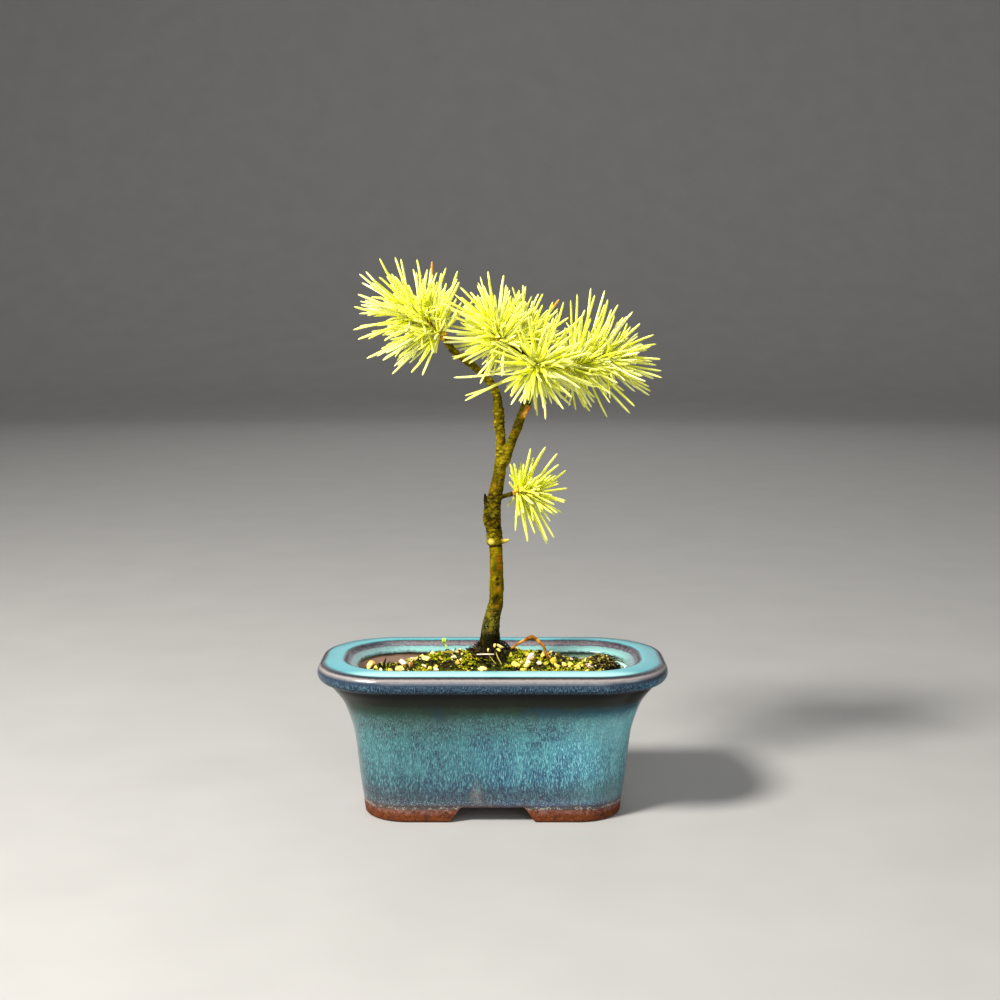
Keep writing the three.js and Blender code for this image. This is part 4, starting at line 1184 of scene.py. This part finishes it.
def remeshed(points, faces, voxel):
    """One skin round closed shapes that overlap: its points, normals and faces, mm."""
    mesh = bpy.data.meshes.new("blank")
    mesh.from_pydata([tuple(p) for p in points], [], faces)
    ob = add_object("blank", mesh)
    remesh = ob.modifiers.new("skin", "REMESH")
    remesh.mode = "VOXEL"
    remesh.voxel_size = voxel
    soften = ob.modifiers.new("soften", "SMOOTH")
    soften.iterations = 3
    soften.factor = 0.5
    bpy.context.view_layer.update()
    made = ob.evaluated_get(bpy.context.evaluated_depsgraph_get()).to_mesh()
    out = np.array([v.co[:] for v in made.vertices])
    normals = np.array([v.normal[:] for v in made.vertices])
    skin = [tuple(p.vertices) for p in made.polygons]
    bpy.data.objects.remove(ob)
    return out, normals, skin


def distance(points, place):
    return np.linalg.norm(points - np.array(place), axis=1)


def blot(points, spots):
    """How much of a round spot, out of those given as (place, width), covers each point."""
    total = np.zeros(len(points))
    for place, width in spots:
        total += bell(distance(points, place), width, 4)
    return np.clip(total, 0, 1)


def bark_relief(points):
    """Scales, wrinkles and cracks as mm out of the bark, and the cracks alone."""
    x, y, z = points.T
    low = smooth((FLAKY_TOP - z) / FLAKY_FADE)
    wrinkles = noise_at(points * (0.3, 0.3, 1.5), 1.0, 2.0, 3)
    plates = noise_at(points * (0.9, 0.9, 0.75), 1.0, 5.0, 3)
    grain = noise_at(points, 2.4, 8.0, 2)
    swell = noise_at(points * (0.2, 0.2, 0.28), 1.0, 6.0, 1)
    cells = np.array([noise.voronoi(Vector(p))[0][:2] for p in points * (0.4, 0.4, 0.7)])
    cracks = bell(cells[:, 1] - cells[:, 0], 0.06)
    cracks *= 1 - 0.75 * smooth((z - EVEN_BARK[0]) / 6) * smooth((EVEN_BARK[1] - z) / 4)
    for height in WRINKLES:
        line = height + 0.55 * np.sin(x * 1.7 + height) + 0.3 * np.sin(y * 2.3 - height)
        fold = bell(z - line, 0.3) * (x < 6)
        cracks = np.maximum(cracks, 1.5 * fold * smooth(0.85 + 1.6 * plates))
    relief = (0.16 * wrinkles + (0.07 + 0.15 * low) * plates + 0.05 * grain + 0.26 * swell
              - 0.18 * cracks)
    return relief, cracks


def needle_scars(points):
    """Scars of fallen needles that stand out round the young wood."""
    scars = np.zeros(len(points))
    for k in range(SCARS):
        line = (TRUNK[13:], LEFT_LEADER, RIGHT_LEADER, LEFT_LEADER)[k % 4]
        curve, t, turn = Curve(line), scatter(k + 0.41), k * SPIRAL_TURN
        centre, along = curve.at(t), curve.along(t)
        across, side = frame_across(along, (0.1, 1, 0.1))
        out = (across * math.cos(turn) + side * math.sin(turn)) * radius_at(line, t)
        offset = points - (centre + out)
        up = offset @ along
        gap = np.sqrt((offset ** 2).sum(1) - up ** 2 + (up * 1.8) ** 2)
        scars += bell(gap, 0.7) * (1.0 if line is LEFT_LEADER else 0.5)
    return scars


def graft_union(x, y, z):
    """The union of the graft: mm of a swollen ring over a thin furrow, and the furrow alone."""
    near = np.hypot(x - GRAFT_X, y) < GRAFT_REACH
    furrow = bell(z - GRAFT_HEIGHT - 0.12 * x, 0.32) * near
    return 0.3 * bell(z - GRAFT_HEIGHT - 1.6, 1.0) * near - 0.45 * furrow, furrow


def make_tree():
    """The skin of all the wood, with its relief and the marks that colour it."""
    soup = Soup()
    for line in LIMBS + [ARCHED_ROOT] + SURFACE_ROOTS:
        soup.add(*limb_tube(line))
    points, normals, faces = remeshed(np.concatenate(soup.points), soup.faces, BARK_VOXEL)
    x, y, z = points.T
    relief, cracks = bark_relief(points)
    root = smooth((x - ROOT_START_X) / 1.2) * (z < ROOT_TOP)
    low_twig = smooth(x - LOW_TWIG_START_X) * (np.abs(z - LOW_TWIG_HEIGHT) < LOW_TWIG_REACH)
    relief *= 1 - 0.5 * np.clip(low_twig + root, 0, 1)
    scars = needle_scars(points)
    relief += 0.36 * np.clip(scars, 0, 1.3)
    for place, width, height in KNOTS:
        relief += height * bell(distance(points, place), width)
    ring, furrow = graft_union(x, y, z)
    relief += ring
    points = points + normals * relief[:, None]

    pits = blot(points, [(place, width) for place, width, height in KNOTS if height < 0])
    bud = smooth((BUD_END_X - x) / 0.5) * (np.abs(z - BUD_HEIGHT) < BUD_REACH)
    # Painted shade on the right leader, where the tufts over it shade it
    leader = smooth((z - LEADER_SHADE_HEIGHT) / 2.5) * smooth(x - LEADER_SHADE_X)
    # Darker where the bark is hollow, a painted shade, on top of the cracks, the graft's furrow,
    # the pits, the bud and the low twig
    dark = 0.55 * smooth(0.1 - relief * 1.6) + 0.8 * cracks + furrow + pits + 0.9 * bud
    dark += 0.6 * low_twig + 0.55 * leader
    node = bell(x - ROOT_BEND_X, 1.3) * root
    dry = blot(points, DRY_WOOD)
    return make_mesh("tree_bark", points, faces, {
        "dark_marks_and_painted_shade": np.clip(dark * (1 - 0.9 * np.maximum(dry, 0.75 * root)), 0, 1),
        "root": np.maximum(root * (1 - 0.75 * node), dry),
        # Painted highlight on the raised bark, together with the pale needle scars
        "high": np.clip(smooth(relief * 1.2 + 0.1) + 0.6 * scars, 0, 1),
        "rusty": blot(points, RUSTY), "fresh": blot(points, FRESH_WOOD)})


# Heights over which each colour of the bark comes in, and those over which it ends, mm
OLD_FROM = (92, 78)
SOAKED_FROM = (83.0, 75.5)
SHADE_FROM, SHADE_TO = (110, 118), (140, 134)
LICHEN_FROM, LICHEN_TO = (84, 79), (71, 74)
PALE_FROM = (76, 90)


def bark_material():
    m = Material("bark", Specular_IOR_Level=0.04)
    mottle = m.noise(0.4, 4.0, 0.5, m.place((1, 1, 0.6)))
    fine = m.noise(2.6, 4.0, 0.7)
    z = m.axes()[2]
    young = mottle.ramp((0.34, (64, 52, 0)), (0.5, (98, 83, 0)), (0.66, (130, 113, 4)))
    old = mottle.ramp((0.3, (36, 34, 0)), (0.5, (66, 62, 2)), (0.7, (104, 96, 12)))
    root = mottle.ramp((0.3, (112, 60, 10)), (0.5, (180, 112, 34)), (0.72, (222, 168, 84)))
    fresh = fine.ramp((0.3, (172, 146, 20)), (0.7, (232, 214, 110)))
    soaked = (z + mottle * 9.0).step(*SOAKED_FROM)
    rust = m.noise(0.3, 2.0, 0.5).step(0.56, 0.7) * 0.35
    lichen = z.step(*LICHEN_FROM) * z.step(*LICHEN_TO) * fine.step(0.56, 0.64)
    colour = m.paint(
        young,
        (old, z.step(*OLD_FROM)),
        ((52, 54, 0), m.noise(0.12, 2.0, 0.5).step(0.5, 0.62) * 0.45),
        ((40, 38, 0), z.step(*SHADE_FROM) * z.step(*SHADE_TO) * 0.45),
        ((6, 8, 0), soaked * 0.94),
        ((140, 82, 4), rust.larger(m.mark("rusty") * 0.65)),
        # Painted highlight on raised bark and the pale needle scars
        ((190, 176, 36), m.mark("high") * z.step(*PALE_FROM, 0.05, 0.42)),
        ((176, 172, 110), lichen * 0.75),
        # The mark lays the dark cracks and pits together with painted shade in the hollows and on
        # the shaded leader
        ((14, 9, 0), m.mark("dark_marks_and_painted_shade") * 0.85),
        ((38, 27, 0), fine.step(0.42, 0.34) * 0.4),
        (root, m.mark("root") * 0.95),
        (fresh, m.mark("fresh") * 0.8))
    return m.finish(Base_Color=colour, Roughness=mottle.step(0.3, 0.7, 0.65, 0.95),
                    Normal=m.bump(fine, 0.18, 0.7))


# Needles

FIRST_BUNDLE = 3.2
SHOOT_START = 1.6
# Filling bundles: how far out of the picture's plane at least, and their widest turn, radians
FILL_DEPTH = 0.3
FILL_TURN = 2.0


def shoot_of(spray):
    """The shoot's line, from the end of the twig that carries it."""
    before, end = (np.array(q[:3], float) for q in spray["carrier"][-2:])
    along = unit(end - before)
    start = end + along * CLEARANCE
    return Curve([start, start + along * SHOOT_START, *spray["shoot"]])


def turn_between(a, b):
    return math.acos(np.clip(a @ b, -1, 1))


def seen_bundles(spray, shoot):
    """Bundles to the tips that stand out; their feet and depths follow later."""
    axis, middle = shoot.axis(), shoot.at(0.6)
    for i, (x, z) in enumerate(spray["tips"]):
        way = unit(np.array([x - middle[0], 0, z - middle[2]]))
        yield dict(turn=turn_between(way, axis), tip=(x, z), side=1 if i % 2 else -1,
                   reach=spray["reach"] * between(0.94, 1.04, scatter(i + 0.3)))


def filling_bundles(spray, shoot):
    """Bundles spread evenly, without those level with the picture or turned far back."""
    axis = shoot.axis()
    for i in range(spray["fill"]):
        y = -1 + 2 * (i + 0.5) / spray["fill"]
        flat, angle = math.sqrt(1 - y * y), i * GOLDEN_ANGLE
        way = np.array([flat * math.cos(angle), y, flat * math.sin(angle)])
        if abs(y) > FILL_DEPTH and turn_between(way, axis) < FILL_TURN:
            yield dict(turn=turn_between(way, axis), direction=way,
                       length=spray["reach"] * between(0.84, 1.0, scatter(i + 0.7)))


def bundles_of(spray):
    """All bundles of a spray; those that turn back most have their feet first on the shoot."""
    shoot = shoot_of(spray)
    bundles = [*seen_bundles(spray, shoot), *filling_bundles(spray, shoot)]
    bundles.sort(key=lambda b: -b["turn"])
    for rank, b in enumerate(bundles):
        share = rank / (len(bundles) - 1)
        b["foot"] = shoot.at(between(FIRST_BUNDLE / shoot.length(), 1, share))
        if "tip" in b:
            x, z = b["tip"][0] - b["foot"][0], b["tip"][1] - b["foot"][2]
            flat = math.hypot(x, z)
            b["length"] = max(b["reach"], 1.03 * flat)
            depth = b["side"] * math.sqrt(b["length"] ** 2 - flat ** 2)
            b["direction"] = unit(np.array([x, depth, z]))
    return bundles


def clear_of(a0, a1, starts, ends, apart):
    """Whether the stretch a0 to a1 keeps its distance from all the others."""
    if not len(starts):
        return True
    u, v, w = a1 - a0, ends - starts, a0 - starts
    uu, uv, vv = u @ u, v @ u, (v * v).sum(1)
    uw, vw = w @ u, (w * v).sum(1)
    whole = uu * vv - uv * uv
    s = np.where(whole > 2.2e-16, (uv * vw - vv * uw) / np.maximum(whole, 1e-16), 0).clip(0, 1)
    t = ((uv * s + vw) / vv).clip(0, 1)
    s = ((uv * t - uw) / uu).clip(0, 1)
    gap = w + u * s[:, None] - v * t[:, None]
    return bool((np.sqrt((gap ** 2).sum(1)) > apart).all())


def wood_stretches():
    """Stretches that needles keep clear of: (spray or none, start, end, distance)."""
    rows = []
    for line in LIMBS:
        for a, b in zip(line, line[1:]):
            rows.append(("", a[:3], b[:3], max(a[3], b[3]) + NEEDLE_RADIUS + CLEARANCE))
    for spray in SPRAYS:
        shoot = shoot_of(spray)
        for t in (0, 0.5):
            rows.append((spray["name"], shoot.at(t), shoot.at(t + 0.5),
                         SHOOT_RADIUS + NEEDLE_RADIUS + CLEARANCE))
    return rows


# Trial bends of a needle and the range of its tilt from the bundle, degrees
BENDS = [0, 5, 5, 5, 5, 10, 10, 10, 10, 16, 16, 16, 16]
TILTS = (4.5, 9.5)
SOLID_NEEDLES, FURTHER_NEEDLES = (0, 2), (1, 3, 4)
# Further needles have fewer trials, other shares of the length and a scattered direction
FURTHER_TRIALS = 9
FURTHER_SHARES = (0.5, 0.95)
FURTHER_SCATTER = 0.17
# Least gaps of the solid model's needles in a tuft, and of any needle to another tuft's, mm
NEEDLES_APART = 1.0
TUFTS_APART = 1.6


def needle_lines(bundle, index, needle):
    """The foot, then each trial direction and the length of one needle of a bundle."""
    along = bundle["direction"]
    across = unit(np.cross((0.31, 0.83, -0.46), along))
    side = np.cross(along, across)
    tilt = math.radians(between(*TILTS, scatter(index + 0.11)))
    turn = (needle / 5 + scatter(index + 0.57)) * 2 * math.pi
    length = bundle["length"] * between(0.93, 1.0, scatter(index + 0.19 * needle))
    outward = across * math.cos(turn) + side * math.sin(turn)
    straight = along * math.cos(tilt) + outward * math.sin(tilt)
    foot = bundle["foot"] + outward * NEEDLE_FOOT_OFFSET
    ways = []
    for attempt, bend in enumerate(BENDS):
        way, lean = attempt * math.pi / 2 + index, math.tan(math.radians(bend))
        ways.append(unit(straight + across * lean * math.cos(way) + side * lean * math.sin(way)))
    return foot, ways, length


class Tuft:
    """The needles of one spray, each as (foot, end of the bundled length, tip)."""

    def __init__(self, spray, others):
        self.spray, self.bundles = spray, bundles_of(spray)
        self.starts = np.array([r[1] for r in others], float)
        self.ends = np.array([r[2] for r in others], float)
        self.apart = np.array([r[3] for r in others])
        self.solid, self.further = [], []

    def try_needle(self, kept, foot, way, length):
        """Keep a needle that lies clear and within the limits, and say whether it was kept."""
        out, tip = foot + way * BUNDLE_LENGTH, foot + way * length
        if abs(tip[0]) >= NEEDLE_LIMITS[0] or abs(tip[1]) >= NEEDLE_LIMITS[1]:
            return False
        if tip[2] > NEEDLE_LIMITS[2]:
            return False
        fits = clear_of(foot, tip, self.starts, self.ends, self.apart)
        # The solid model's needles also keep apart from each other
        if fits and kept is self.solid and kept:
            _, starts, ends = (np.array(places) for places in zip(*kept))
            fits = clear_of(out, tip, starts, ends, NEEDLES_APART)
        if fits:
            kept.append((foot, out, tip))
        return fits

    def add_solid(self):
        """The solid model's needles."""
        for index, bundle in enumerate(self.bundles):
            for needle in SOLID_NEEDLES:
                foot, ways, length = needle_lines(bundle, index, needle)
                for way in ways:
                    if self.try_needle(self.solid, foot, way, length):
                        break

    def add_further(self):
        """The other needles of each bundle."""
        for index, bundle in enumerate(self.bundles):
            if bundle["turn"] > self.spray["widest"]:
                continue
            for needle in FURTHER_NEEDLES:
                foot, ways, length = needle_lines(bundle, index, needle)
                length *= rng.uniform(*FURTHER_SHARES)
                for way in ways[:FURTHER_TRIALS]:
                    way = unit(way + rng.normal(size=3) * FURTHER_SCATTER)
                    if self.try_needle(self.further, foot, way, length):
                        break

    def add_inner(self):
        """Short young needles inside the tuft."""
        shoot = shoot_of(self.spray)
        lean = shoot.axis() * 0.7
        for _ in range(round(self.spray["fill"] * self.spray["inner"])):
            way = unit(rng.normal(size=3) + lean + np.array([0, -0.3, 0.1]))
            foot = shoot.at(between(0.2, 1.0, rng.random() ** 0.7)) + way * 0.6
            self.try_needle(self.further, foot, way, self.spray["reach"] * rng.uniform(0.35, 0.7))


def place_needles():
    """The tufts of all sprays, each clear of the wood and of the tufts before it."""
    taken, tufts = wood_stretches(), []
    for spray in SPRAYS:
        tuft = Tuft(spray, [r for r in taken if r[0] != spray["name"]])
        tuft.add_solid()
        tuft.add_further()
        tuft.add_inner()
        taken += [(spray["name"], foot, tip, TUFTS_APART) for foot, _, tip in tuft.solid]
        tufts.append(tuft)
    return tufts


# Shares of a needle's length and the radii there, mm
NEEDLE_SHARES = np.array([0, 0.07, 0.2, 0.36, 0.52, 0.68, 0.82, 0.92, 0.965, 0.988, 1.0])
NEEDLE_RADII = np.array([0.36, 0.42, 0.48, 0.52, 0.54, 0.54, 0.52, 0.47, 0.38, 0.22, 0.06])
NEEDLE_SIDES = 6
NEEDLE_ALONG = np.concatenate([np.repeat(NEEDLE_SHARES, NEEDLE_SIDES), [0.0, 1.0]])
NEEDLE_RIBS = np.append(np.tile([1.0, 0.0], 3 * len(NEEDLE_SHARES)), [1.0, 1.0])
NEEDLE_BULGE = 4 * NEEDLE_SHARES * (1 - NEEDLE_SHARES)


def needle_section(angles):
    return 1 + 0.13 * np.cos(3 * angles)


def add_needle(soup, foot, tip, tone, warm, bow, width):
    """A curved needle with three ribs."""
    length = np.linalg.norm(tip - foot)
    across, side = frame_across((tip - foot) / length, (0.2, 0.5, -0.84))
    turn = rng.uniform(0, FULL_TURN)
    sideways = across * math.cos(turn) + side * math.sin(turn)
    centres = (foot + np.outer(NEEDLE_SHARES, tip - foot)
               + np.outer(NEEDLE_BULGE * bow * length, sideways))
    points, faces = tube(centres, NEEDLE_RADII * width, NEEDLE_SIDES, needle_section)
    soup.add(points, faces, along=NEEDLE_ALONG, rib=NEEDLE_RIBS, tone=tone, warm=warm)


def ripe_needles(places, needles):
    """Which needles have a red tip: the nearest in front to each given place."""
    return {int(np.argmin([math.hypot(tip[0] - x, tip[2] - z) + 0.15 * max(tip[1], 0)
                           for _, _, tip in needles])) for x, z in places}


def make_foliage(tuft):
    """All needles of a tuft; those of the solid model are straighter and wider."""
    soup = Soup()
    needles = tuft.solid + tuft.further
    ripe = ripe_needles(tuft.spray["ripe"], needles)
    for i, (foot, _, tip) in enumerate(needles):
        if i < len(tuft.solid):
            bow, width = rng.uniform(-0.05, 0.05), rng.uniform(0.88, 0.98)
        else:
            bow, width = rng.uniform(-0.1, 0.1), rng.uniform(0.7, 0.88)
        tone = between(*tuft.spray["tones"], rng.random())
        add_needle(soup, foot, tip, tone, float(i in ripe), bow, width)
    return soup.mesh(tuft.spray["name"] + "_foliage")


SHOOT_POINTS = 40
SHOOT_SIDES, SHEATH_SIDES = 14, 8
BUD = np.array([0.4, 0.9, 1.3, 1.55])
# Radii along a shoot and its bud at shares of their samples, mm
SHOOT_SHARES, SHOOT_RADII = [0, 0.1, 0.5, 0.9, 0.97, 1], [1.25, 1.3, 1.35, 1.3, 0.9, 0.2]
# A sheath's places along its bundle and radii, mm
SHEATH_PLACES, SHEATH_RADII = (0.2, 1.2, 2.0, 2.8, 3.2), [0.75, 1.0, 0.98, 0.82, 0.6]


def make_shoot(tuft):
    """The shoot with its bud and the sheath round the foot of each bundle."""
    shoot, soup, green = shoot_of(tuft.spray), Soup(), tuft.spray["green"]
    bud = shoot.at(1) + np.outer(BUD, shoot.along(1))
    centres = np.concatenate([shoot.samples(SHOOT_POINTS), bud])
    radii = np.interp(np.linspace(0, 1, len(centres)), SHOOT_SHARES, SHOOT_RADII)
    soup.add(*tube(centres, radii, SHOOT_SIDES), sheath=0.0, green=green)
    for b in tuft.bundles:
        line = [b["foot"] + b["direction"] * s for s in SHEATH_PLACES]
        soup.add(*tube(line, SHEATH_RADII, SHEATH_SIDES), sheath=1.0,
                 green=np.clip(green + rng.uniform(-0.3, 0.3), 0, 1))
    points = np.concatenate(soup.points)
    uneven = 0.12 * noise_at(points, 1.6, 4.0, 2)[:, None] * rng.uniform(-1, 1, (1, 3))
    soup.points = [points + uneven]
    return soup.mesh(tuft.spray["name"] + "_shoot")


def needle_material():
    m = Material("needle", Specular_IOR_Level=0.4, Subsurface_Weight=0.5,
                 Subsurface_Scale=0.003, Subsurface_Radius=(1.0, 0.95, 0.1))
    along = m.mark("along")
    grain = m.noise(1.2, 2.0, 0.5)
    body = m.mark("tone").ramp(
        (0.0, (228, 231, 26)), (0.25, (246, 247, 80)), (0.55, (255, 254, 172)),
        (0.8, (245, 246, 80)), (1.0, (216, 222, 14)))
    colour = m.paint(
        body,
        # Painted shade: the grooves between the ribs are a deeper, more saturated green
        ((198, 206, 8), m.mark("rib").step(0.65, 0.05, 0.0, 0.6)),
        ((206, 160, 48), along.step(0.14, 0.02)),
        # Painted highlight: the outer part of each needle is paler
        ((253, 252, 168), along.step(0.4, 1.0) * 0.35),
        ((206, 112, 52), m.mark("warm") * along.step(0.62, 0.9) * 0.85),
        ((186, 194, 10), grain.step(0.52, 0.75) * 0.25))
    return m.finish(Base_Color=colour, Roughness=grain.step(0.3, 0.7, 0.24, 0.38),
                    Normal=m.bump(grain, 0.05, 0.4))


def shoot_material():
    m = Material("shoot", Roughness=0.7, Specular_IOR_Level=0.3)
    grain = m.noise(1.5, 4.0, 0.65)
    twig = grain.ramp((0.3, (84, 52, 6)), (0.5, (150, 100, 22)), (0.7, (200, 150, 48)))
    sheath = grain.ramp((0.3, (160, 108, 16)), (0.55, (206, 164, 34)), (0.8, (230, 206, 74)))
    fresh = grain.ramp((0.3, (166, 166, 16)), (0.5, (220, 220, 60)), (0.7, (244, 244, 120)))
    colour = m.paint(twig, (sheath, m.mark("sheath")), (fresh, m.mark("green")))
    return m.finish(Base_Color=colour, Normal=m.bump(grain, 0.15, 0.7))


def screen_material():
    m = Material("screen")
    weave = m.noise(2.0, 3.0, 0.6)
    return m.finish(Base_Color=weave.ramp((0.3, (24, 24, 26)), (0.7, (46, 46, 48))),
                    Roughness=weave.step(0.3, 0.7, 0.45, 0.7), Normal=m.bump(weave, 0.1, 0.5))


# Assembly

piece(make_pot(), Glaze().complete(), "glaze", "pot")
piece(make_soil_bed(), soil_material(), "soil", "soil")
piece(make_grit(), grit_material(), "soil")
piece(make_moss(), moss_material(), "soil")
piece(make_litter(), litter_material(), "soil")
piece(make_tree(), bark_material(), "bark", "tree")

needle_look, shoot_look, screen_look = needle_material(), shoot_material(), screen_material()
for tuft in place_needles():
    piece(make_foliage(tuft), needle_look, "needle", tuft.spray["name"])
    piece(make_shoot(tuft), shoot_look, "bark")
for side in ("left", "right"):
    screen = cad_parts["drain_screen_" + side]
    screen.data.materials.clear()
    screen.data.materials.append(screen_look)


# Stage, light and camera, in metres

def make_stage():
    """A floor that curves up behind the part."""
    half, back, bend, high, drop = 6.0, 3.0, 1.0, 5.0, 0.0002
    profile = [(-half, 0.0), (back - bend, 0.0)]
    profile += [(back - bend + bend * math.sin(t), bend - bend * math.cos(t))
                for t in np.linspace(0, math.pi / 2, 17)[1:]]
    profile.append((back, high))
    points = [(x / MM, y / MM, (z - drop) / MM) for y, z in profile for x in (-half, half)]
    faces = [(2 * i, 2 * i + 1, 2 * i + 3, 2 * i + 2) for i in range(len(profile) - 1)]
    ob = add_object("stage_floor", make_mesh("stage_floor", points, faces))
    m = Material("stage_floor", Roughness=0.6)
    paper = m.noise(0.02, 2.0, 0.5).ramp((0.3, (154, 152, 149)), (0.7, (158, 156, 153)))
    ob.data.materials.append(m.finish(Base_Color=paper))


def look_at(ob, place, target):
    ob.location = place
    ob.rotation_euler = (Vector(target) - ob.location).to_track_quat("-Z", "Y").to_euler()


def area_light(name, place, target, size, power, colour):
    light = bpy.data.lights.new(name, "AREA")
    light.shape = "DISK"
    light.size = size
    light.energy = power
    light.color = colour
    ob = add_object(name, light)
    ob.visible_camera = False
    look_at(ob, place, target)


def make_world():
    world = bpy.data.worlds.new("studio")
    bpy.context.scene.world = world
    world.use_nodes = True
    background = world.node_tree.nodes["Background"]
    background.inputs["Color"].default_value = WORLD_COLOUR
    background.inputs["Strength"].default_value = WORLD_STRENGTH


# (name, place, target, size, power, colour)
LIGHTS = [
    ("key", (-0.62, -0.52, 0.88), (0, 0, 0.12), 0.26, 31.0, (1.0, 0.98, 0.94)),
    ("fill", (0.9, -0.5, 0.6), (0, 0, 0.1), 0.5, 1.6, (0.94, 0.97, 1.0)),
    ("front", (0.1, -1.2, 0.56), (0, 0, 0.06), 0.9, 6.0, (1, 1, 1)),
    ("back", (0.0, 1.4, 1.13), (0, 0, 0.08), 2.2, 6.0, (1, 1, 1)),
]
WORLD_COLOUR = (0.86, 0.88, 0.9, 1)
WORLD_STRENGTH = 0.28
CAMERA_PLACE = (0.00297, -0.59467, 0.20647)
CAMERA_TARGET = (0.00297, 0.0, 0.1267)
PICTURE_WIDTH = 1000
FOCAL_PIXELS = 1491.4
SENSOR_WIDTH = 36.0


def make_camera():
    camera = add_object("camera", bpy.data.cameras.new("camera"))
    bpy.context.scene.camera = camera
    look_at(camera, CAMERA_PLACE, CAMERA_TARGET)
    camera.data.sensor_width = SENSOR_WIDTH
    camera.data.lens = SENSOR_WIDTH * FOCAL_PIXELS / PICTURE_WIDTH
    camera.data.clip_start = 0.01


make_stage()
for light in LIGHTS:
    area_light(*light)
make_world()
make_camera()
bpy.context.scene.view_settings.view_transform = "Standard"
